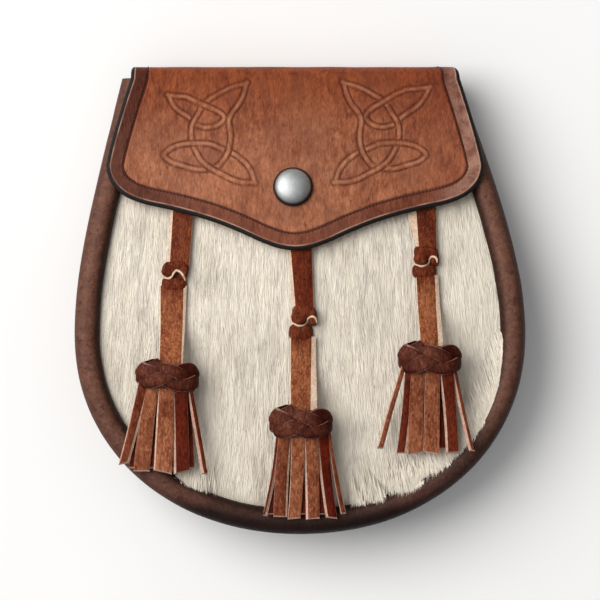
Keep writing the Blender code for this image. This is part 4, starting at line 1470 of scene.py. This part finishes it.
# The straps, in millimetres: levels down each run, and across there the foot's left side, the
# face's left side, the face's right side and the foot's right side
STRAP_RUNS = {
    "left": (
        ((50.0, -48.3, -47.3, -39.4, -39.2), (12.5, -50.2, -49.3, -42.0, -41.8)),
        ((5.2, -52.9, -52.7, -44.0, -42.8), (-25.4, -52.8, -52.6, -44.6, -44.0)),
    ),
    "middle": (
        ((36.0, -5.5, -4.9, 3.9, 4.1), (-4.0, -2.6, -1.6, 5.1, 5.3)),
        ((-14.0, -3.6, -3.4, 4.4, 6.0), (-42.6, -3.6, -3.4, 3.9, 6.4)),
    ),
    "right": (
        (
            (52.0, 38.6, 43.1, 51.0, 51.2),
            (32.3, 40.6, 44.2, 51.6, 51.8),
            (18.6, 44.6, 45.1, 51.7, 51.9),
        ),
        ((9.2, 43.8, 44.0, 51.0, 52.3), (-18.6, 45.2, 45.4, 52.0, 53.9)),
    ),
}

# Each knot: its middle in millimetres, the pale lip's course, and the folded layers, each with
# its middle, half width, half length, height in millimetres and turn in degrees. The courses
# and the layers' places are in steps of 0.38 mm from the knot's middle, down the page.
KNOTS = {
    "left": (
        (-47.3, 8.7),
        (
            (-14, -5), (-12.5, -1), (-8.5, 1.8), (-4, 1),
            (-1, -3.5), (2, -6), (6, -4), (9, 0), (10.5, 5),
        ),
        (
            (0.5, -9, 12.5, 7.5, 3.2, -8),
            (8.5, -5, 5.0, 9.0, 3.5, 12),
            (-6, -6, 7.5, 6.8, 3.9, 14),
            (-0.8, 7.5, 12.6, 7.6, 2.3, 0),
        ),
    ),
    "middle": (
        (0.8, -9.1),
        (
            (-12, -8), (-10.5, -3), (-6, 1.2), (-0.5, 2), (4, -0.8),
            (6, -5), (10, -7), (13.5, -5), (14.5, 0),
        ),
        (
            (1.5, -12, 11.5, 7.5, 3.2, 5),
            (10.5, -7, 4.5, 9.5, 3.4, -8),
            (-3, -5.5, 8.0, 7.2, 3.9, 6),
            (-1.2, 9.0, 12.0, 9.2, 2.3, 0),
        ),
    ),
    "right": (
        (47.3, 13.7),
        (
            (-12.5, -6), (-10.8, -0.5), (-6.5, 2.5), (-1.5, 2.8),
            (3, 0.2), (4.8, -4.8), (8, -6.6), (11.4, -4.6), (12, 0),
        ),
        (
            (1.2, -11, 12.2, 7.0, 3.2, 4),
            (9.5, -6, 4.8, 9.0, 3.5, -6),
            (-3.5, -4.8, 7.6, 6.8, 3.9, 4),
            (-0.6, 8.0, 12.2, 7.8, 2.3, 0),
        ),
    ),
}

# The heads: middle, top level and the level where the fringe below ends, in millimetres
HEADS = {
    "left": (-49.9, -21.8, -65.4),
    "middle": (0.3, -39.0, -82.9),
    "right": (48.8, -15.0, -58.2),
}


def lie_height(across, level):
    """Height at which a thing lies on the front: clear of the nap and of the roll."""
    return soft_max(crest(level), hide_top(across, level)) + CLEARANCE


def head_axis(across, head_top):
    """Height of the head's middle line, so that its widest part clears what it lies on."""
    reach = HEAD_LENGTH * np.linspace(0.2, 0.8, 4)
    return float(np.max(lie_height(across, head_top - reach))) + HEAD_THICKNESS / 2


def leaning_strip(level, places, lift, wall, columns=9, lie=hide_top):
    """A strip that lies on the hide. Its face is narrower than its foot, so that its raw edge
    leans and shows from above: both are straight between their two sides at each level."""
    share = np.linspace(0.0, 1.0, columns)
    foot_left, face_left, face_right, foot_right = places
    foot_across = foot_left[:, None] + (foot_right - foot_left)[:, None] * share
    face_across = face_left[:, None] + (face_right - face_left)[:, None] * share
    levels = level[:, None] + 0 * foot_across
    crown = 1 - 0.14 * (2 * share - 1) ** 4
    curl = 0.55 * np.abs(2 * share - 1) ** 9
    foot = lie(foot_across, levels) + CLEARANCE + lift[:, None] + wall[:, None] * curl
    face = lie(face_across, levels) + CLEARANCE + lift[:, None] + wall[:, None] * crown
    return np.stack((face_across, levels, face), axis=-1), np.stack((foot_across, levels, foot), axis=-1)


def strap_run(rows, steps):
    """Levels evenly down a run, and the four sides there, eased between the rows."""
    rows = np.array(rows)[::-1] / 1000
    level = np.linspace(rows[-1, 0], rows[0, 0], steps)
    return level, [np.interp(level, rows[:, 0], rows[:, number]) for number in (1, 2, 3, 4)]


def layer_rise(middle, layer, x, y):
    """A folded layer's height over the hide: the root of one less the fourth power of the
    rounded oblong's ring, made lumpy, and nothing outside it."""
    across, down, half_across, half_down, height, turn = layer
    tilt = math.radians(turn)
    right = (x - middle[0]) / KNOT_STEP - across
    below = (middle[1] - y) / KNOT_STEP - down
    aside = (right * math.cos(tilt) + below * math.sin(tilt)) / half_across
    along = (below * math.cos(tilt) - right * math.sin(tilt)) / half_down
    ring = (np.abs(aside) ** 3 + np.abs(along) ** 3) ** (1 / 3)
    lumps = 0.84 + 0.26 * noise_field(x, y, 0.0017, 0.0014, 77)
    return height / 1000 * np.sqrt(np.clip(1 - ring**4, 0.0, 1.0)) * lumps


def folded_layer(middle, layer, dark):
    """A flat-topped pad: rings of a rounded oblong whose height falls off near its rim."""
    across, down, half_across, half_down, _, turn = layer
    ring = np.concatenate((np.linspace(0.0, 0.8, 7), (0.88, 0.94, 0.98, 1.0)))[:, None]
    angle = np.linspace(0.0, 2 * math.pi, 37)[None, :]
    power = 2 / 3.0
    aside = half_across * ring * np.sign(np.cos(angle)) * np.abs(np.cos(angle)) ** power
    along = half_down * ring * np.sign(np.sin(angle)) * np.abs(np.sin(angle)) ** power
    tilt = math.radians(turn)
    x = middle[0] + KNOT_STEP * (across + aside * math.cos(tilt) - along * math.sin(tilt))
    y = middle[1] - KNOT_STEP * (down + aside * math.sin(tilt) + along * math.cos(tilt))
    base = hide_top(x, y) + CLEARANCE
    top = np.stack((x, y, base + layer_rise(middle, layer, x, y)), axis=-1)
    foot = np.stack(((x[-1:] + x[:1]) / 2, (y[-1:] + y[:1]) / 2, base[-1:]), axis=-1)
    centre = np.broadcast_to(foot.mean(axis=1, keepdims=True), foot.shape)
    grid = np.concatenate((top, foot, centre))
    return closed_tube(grid, dark=np.full(grid.shape[:2], dark))


def smooth_course(points, count):
    """A smooth open line through points, by cubic runs whose slopes join their neighbours."""
    points = np.array(points, float)
    slope = np.gradient(points, axis=0)
    at = np.linspace(0.0, len(points) - 1.0, count)
    first = np.minimum(at.astype(int), len(points) - 2)
    way = (at - first)[:, None]
    return cubic_run(way, points[first], points[first + 1], slope[first], slope[first + 1])


def curled_lip(middle, course, layers):
    """The slit's raw lip: a thin round thread that rests on the folded layers all the way."""
    line = smooth_course(course, 33) * (KNOT_STEP, -KNOT_STEP) + middle
    share = np.linspace(0.0, 1.0, len(line))
    rise = [layer_rise(middle, layer, line[:, 0], line[:, 1]) for layer in layers]
    rise = np.convolve(np.pad(np.max(rise, axis=0), 3, mode="edge"), np.full(7, 1 / 7), mode="valid")
    rise = np.maximum(rise, STRAP_WALL * 0.5) + LIP_RADIUS * 0.55
    height = hide_top(line[:, 0], line[:, 1]) + CLEARANCE + rise
    path = np.concatenate((line, height[:, None]), axis=1)
    radii = LIP_RADIUS * np.minimum(1.0, np.minimum(share, 1 - share) * 9) ** 0.5
    return [dict(part, kinds=part["kinds"] + 1) for part in tubes(path[None], radii, 8)]


# How dark the upper run of each strap is, and the folded layers of every knot
UPPER_DARK = {"left": 0.74, "middle": 0.96, "right": 0.78}
LAYER_DARK = 0.84

# How far the lower run rises over the head's middle line, and where it starts to
RISE_INTO_HEAD = 0.0026
RISE_START = 0.0150
RISE_LENGTH = 0.0165


def tassel_strap(name):
    """The strap's parts: the upper run, the lower run up into the head, and the knot between."""
    upper_rows, lower_rows = STRAP_RUNS[name]
    head_x, head_top, _ = (value / 1000 for value in HEADS[name])
    level, places = strap_run(upper_rows, 40)
    end = ease((level - level[-1]) / 0.005)
    wall = np.full(level.shape, STRAP_WALL)
    face, foot = leaning_strip(level, places, 0.0004 * (1 - end), wall)
    parts = [slab(face, foot, dark=np.full(face.shape[:2], UPPER_DARK[name]))]
    level, places = strap_run(lower_rows, 44)
    rise = head_axis(head_x, head_top) - float(hide_top(head_x, head_top))
    rise = rise - STRAP_WALL + RISE_INTO_HEAD
    lift = rise * ease((head_top + RISE_START - level) / RISE_LENGTH)
    face, foot = leaning_strip(level, places, lift, np.full(level.shape, STRAP_WALL))
    shaded = 0.08 + 0.62 * ease((level - level[0] + 0.0075) / 0.0065)
    parts.append(slab(face, foot, dark=shaded[:, None] + np.zeros(face.shape[:2])))
    (across, along), course, layers = KNOTS[name]
    middle = np.array((across, along)) / 1000
    parts += [folded_layer(middle, layer, LAYER_DARK) for layer in layers]
    return parts + curled_lip(middle, course, layers)


def russet_leather(name, tones, scale, bump, darkest):
    """Russet leather with pale rubbed flecks, darker where the piece's own mark says so: its own
    tone in places, and painted shade in others.
    """

    def wear_and_painted_light(tree, where):
        patch_noise = span(tree, noise(tree, where, scale * 1.15, 2.0, 0.5), 0.54, 0.68, 0.0, 0.5)
        pale = [min(1.3 * tone + 0.02, 0.95) for tone in tones[1]]
        # The dark mark is the leather's own tone in places and painted shade in others.
        share = calc(tree, "MULTIPLY|", mark(tree, "dark"), darkest)
        return ((patch_noise, pale), (share, (0.32, 0.080, 0.030), "MULTIPLY"))

    return leather(name, tones, scale, bump, (0.52, 0.66), 0.08, (1.25, 0.5, 1.0), 0.45, wear_and_painted_light)


STRAP_TONES = ((0.17, 0.036, 0.013), (0.43, 0.150, 0.060), (0.065, 0.011, 0.004))
RAW_EDGE_TONES = ((0.66, 0.46, 0.32), (0.88, 0.68, 0.51), (0.50, 0.31, 0.20))
STRAP_LEATHER = russet_leather("strap_leather", STRAP_TONES, 1250.0, 0.0003, 0.9)
RAW_EDGE = russet_leather("raw_edge", RAW_EDGE_TONES, 1800.0, 0.00012, 0.12)
for name in STRAP_RUNS:
    strap = make_piece("knotted_strap_" + name, tassel_strap(name), STRAP_LEATHER, RAW_EDGE)
    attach(strap, "root")
    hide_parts("tassel_strap_" + name)


# The tassel heads
# A broad dark thong woven round the top of each fringe as a three-part collar with four bights.
# It passes over and under itself, and its cut edges show as fine pale lines.

BIGHTS = 4
LEADS = 3
BAND_HALF = 0.0033
BAND_WALL = 0.0012
BAND_BEVEL = 0.00042
WEAVE = 0.00062
FIRST_BIGHT = -0.0026
TOP_DROP = 0.0019

# How much higher the collar's lower edge is than the bundle's end: at the left, in the middle
# and at the right, in millimetres
COLLAR_RISE = {"left": (3.0, 3.2, 0.9), "middle": (1.7, 1.6, 1.5), "right": (1.7, 2.0, 1.0)}

# The head's outline from top to bottom: share of its length, share of its width
HEAD_OUTLINE = (
    (0.0, 0.74),
    (0.12, 0.88),
    (0.30, 0.985),
    (0.50, 1.0),
    (0.72, 0.97),
    (0.90, 0.89),
    (1.0, 0.80),
)


def ellipse_lengths(angle):
    """Distances round the head's ellipse at rising angles, from the first one."""
    step = np.hypot(HEAD_WIDTH / 2 * np.sin(angle), HEAD_THICKNESS / 2 * np.cos(angle))
    return np.concatenate(((0.0,), np.cumsum((step[1:] + step[:-1]) / 2 * np.diff(angle))))


def head_turn(round_by):
    """The angle on the head's ellipse at a distance round it from the front's middle."""
    angle = np.linspace(-2 * math.pi, 4 * math.pi, 2401)
    length = ellipse_lengths(angle)
    once = np.interp(2 * math.pi, angle, length) - np.interp(0.0, angle, length)
    front = np.interp(math.pi / 2, angle, length)
    return np.interp(front - np.mod(round_by + once / 2, once) + once / 2, length, angle)


def head_around():
    """The distance once round the head's widest part."""
    return float(ellipse_lengths(np.linspace(0.0, 2 * math.pi, 1201))[-1])


def head_place(turn, down, out, head_x, head_top, rises):
    """A place on the head: an ellipse round it, scaled by the outline, and out by a distance.

    Its upper edge stands up in one bump at the left of the strap, and its lower edge rises.
    """
    wide = HEAD_WIDTH / 2 - BAND_WALL - WEAVE
    thick = HEAD_THICKNESS / 2 - BAND_WALL - WEAVE
    rows = np.array(HEAD_OUTLINE)
    scale = np.interp(down, rows[:, 0], rows[:, 1])
    normal = unit(np.stack((np.cos(turn) / wide, 0 * turn, np.sin(turn) / thick), axis=-1))
    aside = wide * scale * np.cos(turn)
    bump = ease((aside + 0.0095) / 0.006) * ease((-0.0018 - aside) / 0.0018)
    top = TOP_DROP * (1 - bump)
    low = np.interp(np.cos(turn), (-1.0, 0.0, 1.0), rises) / 1000
    place = np.stack(
        (
            head_x + aside,
            head_top - top - (HEAD_LENGTH - top - low) * down,
            head_axis(head_x, head_top) + thick * scale * np.sin(turn),
        ),
        axis=-1,
    )
    return place + normal * out[..., None]


def woven_band(head_x, head_top, rises):
    """The thong's two faces along its whole course.

    Round the head it turns three times while it swings four times from top to bottom, and it
    rises and sinks twice as often, so that it goes over and under in turn.
    """
    course = np.linspace(0.0, 2 * math.pi, 481)
    swing = HEAD_LENGTH / 2 - BAND_HALF * 0.95
    step_round = LEADS * head_around() / (2 * math.pi)
    step_down = BIGHTS * swing * np.sin(BIGHTS * course)
    length = np.hypot(step_round, step_down)
    share = np.linspace(-1.0, 1.0, 9)
    over = (1 + np.sin(2 * BIGHTS * course))[:, None] / 2
    # Painted shade: darker where the thong passes under itself and towards its edges.
    dark = 0.5 * (1 - over) + 0.35 * np.abs(share) ** 5
    faces = []
    for half, raised in ((BAND_HALF - BAND_BEVEL, 1.0), (BAND_HALF, 0.0)):
        aside_round = (-step_down / length)[:, None] * share * half
        aside_down = (step_round / length)[:, None] * share * half
        down = HEAD_LENGTH / 2 - swing * np.cos(BIGHTS * course)[:, None] + aside_down
        down = np.clip(down / HEAD_LENGTH, 0.0, 1.0)
        lift = WEAVE * (1 + np.sin(2 * BIGHTS * course))[:, None] + 0 * down
        crown = raised * BAND_WALL * (1 - 0.18 * share**4)
        turn = head_turn((course * step_round)[:, None] + aside_round + FIRST_BIGHT)
        faces.append(head_place(turn, down, lift + crown, head_x, head_top, rises))
        if raised:
            # Painted shade: darker on the head's right side, at its bottom and at its far left.
            dark = dark + 0.6 * ease(np.cos(turn) / 0.8) + 0.3 * ease(down * 4 - 3)
            dark = dark + 0.25 * ease(-2 * np.cos(turn) - 1)
    return slab(*faces, ends=False, dark=np.clip(dark, 0.0, 1.0))


def head_core(head_x, head_top, rises):
    """What fills the woven collar: the rolled top of the fringe, drawn in at both ends."""
    down = np.concatenate(((0.06,), np.linspace(0.06, 0.97, 15), (0.97,)))[:, None]
    turn = np.linspace(0.0, 2 * math.pi, 41)[None, :]
    flat = 0 * down + 0 * turn
    grid = head_place(turn + flat, down + flat, 0.0002 + flat, head_x, head_top, rises)
    grid[0] = grid[0].mean(axis=0)
    grid[-1] = grid[-1].mean(axis=0)
    return grid


HEAD_TONES = ((0.078, 0.017, 0.008), (0.170, 0.050, 0.027), (0.03, 0.006, 0.003))
HEAD_EDGE_TONES = ((0.20, 0.09, 0.066), (0.46, 0.27, 0.21), (0.10, 0.04, 0.03))
HEAD_LEATHER = russet_leather("head_leather", HEAD_TONES, 1000.0, 0.0002, 0.95)
HEAD_EDGE = russet_leather("head_edge", HEAD_EDGE_TONES, 700.0, 0.0001, 0.5)
for name, (head_x, head_top, _) in HEADS.items():
    place = (head_x / 1000, head_top / 1000, COLLAR_RISE[name])
    parts = [woven_band(*place), closed_tube(head_core(*place))]
    head = make_piece("woven_head_" + name, parts, HEAD_LEATHER, HEAD_EDGE)
    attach(head, "root")
    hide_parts("tassel_" + name)


# The fringes
# A sheet of russet leather slit into thongs and rolled up inside each head. The thongs splay,
# lean so that their pale cut sides show, and end unevenly, with a row behind that is darkened as
# painted shade.

FRINGE_TUCK = 0.0062
FRINGE_WALL = 0.0016
FRONT_LAYER = 0.0017
BACK_ROW_SHORT = 0.0016
# How dark the row behind is: painted shade in the front row's gaps
BACK_ROW_SHADE = 0.95
HIDDEN_PALE = (0.0001, 0.0001)

# The thongs in millimetres from the head's middle: across at the top and at the end, width
# there and there, pale side on the left and on the right, how much shorter, and how dark
THONGS = {
    "left": (
        (-8.8, -16.8, 3.4, 2.7, 0.4, 0.9, 3.3, 0.65),
        (-5.0, -9.9, 4.6, 5.9, 0.1, 0.1, 0.5, 0.12),
        (-0.1, -1.6, 5.4, 6.2, 0.6, 0.1, 0.2, 0.00),
        (5.0, 5.7, 4.6, 4.9, 0.9, 0.1, 0.1, 0.95),
        (8.4, 14.4, 1.3, 1.3, 1.1, 0.1, -0.6, 0.90),
    ),
    "middle": (
        (-8.6, -14.0, 0.8, 0.7, 0.1, 1.0, 1.2, 0.85),
        (-5.8, -8.0, 4.4, 4.4, 0.1, 0.7, 0.8, 0.45),
        (-1.1, -2.5, 5.0, 4.5, 0.2, 0.1, 0.1, 0.00),
        (4.0, 4.9, 4.8, 4.3, 0.8, 0.1, 0.0, 0.20),
        (8.4, 12.0, 3.6, 3.3, 0.9, 0.1, 0.3, 1.0),
        (10.4, 16.1, 1.0, 1.5, 0.2, 0.3, 2.0, 0.6),
    ),
    "right": (
        (-9.4, -18.5, 1.5, 1.7, 0.5, 0.2, 1.9, 0.35),
        (-7.8, -10.9, 2.8, 2.8, 0.1, 0.9, 0.1, 0.90),
        (-4.3, -5.3, 5.0, 5.4, 0.1, 0.1, 0.0, 0.22),
        (0.9, 0.7, 5.4, 5.8, 0.1, 0.1, 0.1, 0.05),
        (6.0, 9.0, 4.4, 3.8, 0.9, 0.1, 0.3, 0.90),
        (9.0, 16.4, 1.1, 1.0, 1.0, 0.1, 1.0, 0.75),
    ),
}

# The row behind: across at the top and at the end, and width at the end
THONGS_BEHIND = {
    "left": ((-7.0, -13.0, 3.4), (-2.6, -5.6, 4.0), (2.6, 1.8, 4.0), (7.4, 8.6, 2.6)),
    "middle": ((-7.4, -11.4, 3.0), (-3.7, -5.2, 3.2), (1.5, 1.0, 3.6), (7.0, 8.6, 4.0)),
    "right": ((-6.6, -8.2, 3.2), (-1.9, -2.3, 3.2), (4.0, 4.8, 4.2), (8.0, 7.6, 3.0)),
}


def thong(head_x, head_top, end_level, top, end, wide, pale, layer, high, dark, bow, slant):
    """One thong from inside the head to its free end: it falls from the head to what it lies
    on, widens on the way, and its face is narrower than its foot by the pale sides."""
    way = np.linspace(0.0, 1.0, 17)
    start = head_top - HEAD_LENGTH + FRINGE_TUCK
    level = start + (end_level - start) * way
    middle = head_x + top + (end - top) * way**1.1 + bow * np.sin(way * math.pi)
    half = (wide[0] + (wide[1] - wide[0]) * ease(way * 1.2)) / 2
    show = 0.35 + 0.65 * ease(way * 2.2)
    left, right = middle - half, middle + half
    places = (left - pale[0] * show, left, right, right + pale[1] * show)
    rest = lie_height(middle, level)
    fall = ease(way / 0.8)
    lift = np.maximum((high - rest) * (1 - fall), 0.0) + layer
    face, foot = leaning_strip(level, places, lift, np.full(way.shape, FRINGE_WALL), 7, lie_height)
    cut = slant * np.linspace(-1.0, 1.0, 7) * half[-1]
    foot[-1, :, 1] += cut
    face[-1, :, 1] += cut + 0.0006
    return slab(face, foot, dark=np.full(face.shape[:2], dark))


def fringe_parts(name):
    """The front row, and behind it a row darkened as painted shade, which fills its gaps."""
    rng = np.random.default_rng(len(name))
    head_x, head_top, end = (value / 1000 for value in HEADS[name])
    axis = head_axis(head_x, head_top)
    parts = []
    for *sizes, dark in THONGS[name]:
        top, low, wide_top, wide_low, left, right, short = np.array(sizes) / 1000
        layer = FRONT_LAYER + rng.uniform(-0.0004, 0.0004)
        high = axis + 0.0023 - FRINGE_WALL - layer - 12.0 * top**2
        bow, slant = rng.normal(0.0, 0.00035), rng.normal(0.0, 0.16)
        sides = ((wide_top, wide_low), (left, right))
        look = (layer, high, dark, bow, slant)
        parts.append(thong(head_x, head_top, end + short, top, low, *sides, *look))
    high = axis - 0.3 * HEAD_THICKNESS
    for sizes in THONGS_BEHIND[name]:
        top, low, wide = np.array(sizes) / 1000
        sides = ((wide, wide), HIDDEN_PALE)
        look = (0.0, high, BACK_ROW_SHADE, 0.0, 0.0)
        parts.append(thong(head_x, head_top, end + BACK_ROW_SHORT, top, low, *sides, *look))
    return parts


FRINGE_TONES = ((0.18, 0.042, 0.016), (0.41, 0.150, 0.069), (0.08, 0.015, 0.006))
FRINGE_EDGE_TONES = ((0.50, 0.30, 0.22), (0.76, 0.54, 0.43), (0.34, 0.18, 0.12))
FRINGE_LEATHER = russet_leather("fringe_leather", FRINGE_TONES, 1000.0, 0.0002, 1.0)
FRINGE_EDGE = russet_leather("fringe_edge", FRINGE_EDGE_TONES, 1700.0, 0.00012, 0.3)
for name in THONGS:
    fringe = make_piece("fringe_" + name, fringe_parts(name), FRINGE_LEATHER, FRINGE_EDGE)
    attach(fringe, "root")


# The floor and the light
# A pale plain floor, one large soft light from the upper left, and a dim pale room that is
# brighter on the light's side.

KEY_POWER = 54.0
KEY_PLACE = (-1.38, 0.68, 1.80)
KEY_SIZE = 2.2
ROOM_DARK = 0.12
ROOM_BRIGHT = 0.60
ROOM_BRIGHT_SIDE = (-0.72, 0.20, 0.66)
FLOOR_HALF = 3.0


def pale_floor():
    """A wide plane of matt, very faintly uneven white."""
    material, tree, shader = new_material("pale_floor")
    share = span(tree, noise(tree, object_place(tree), 8.0), 0.3, 0.7)
    colour = mix_colours(tree, share, (0.93, 0.93, 0.93, 1), (0.95, 0.95, 0.95, 1))
    tree.links.new(colour, shader.inputs["Base Color"])
    shader.inputs["Roughness"].default_value = 0.9
    shader.inputs["Specular IOR Level"].default_value = 0.1
    mesh = bpy.data.meshes.new("floor")
    signs = ((-1, -1), (1, -1), (1, 1), (-1, 1))
    corners = [(FLOOR_HALF * right, FLOOR_HALF * up, 0.0) for right, up in signs]
    mesh.from_pydata(corners, [], [(0, 1, 2, 3)])
    mesh.materials.append(material)
    return bpy.data.objects.new("floor", mesh)


floor = pale_floor()
bpy.context.scene.collection.objects.link(floor)

key_data = bpy.data.lights.new("key_light", "AREA")
key_data.shape = "DISK"
key_data.size = KEY_SIZE
key_data.energy = KEY_POWER
key_data.color = (1.0, 0.985, 0.96)
key = bpy.data.objects.new("key_light", key_data)
key.location = KEY_PLACE
key.rotation_euler = (-Vector(KEY_PLACE)).to_track_quat("-Z", "Y").to_euler()
bpy.context.scene.collection.objects.link(key)

world = bpy.data.worlds.new("room")
world.use_nodes = True
room = world.node_tree
feeds = {0: add_node(room, "ShaderNodeTexCoord").outputs["Generated"], 1: ROOM_BRIGHT_SIDE}
facing = add_node(room, "ShaderNodeVectorMath", feeds, operation="DOT_PRODUCT").outputs["Value"]
background = room.nodes["Background"]
background.inputs["Color"].default_value = (1.0, 1.0, 1.0, 1.0)
strength = span(room, facing, -0.5, 1.0, ROOM_DARK, ROOM_BRIGHT)
room.links.new(strength, background.inputs["Strength"])
bpy.context.scene.world = world
bpy.context.scene.view_settings.view_transform = "Standard"
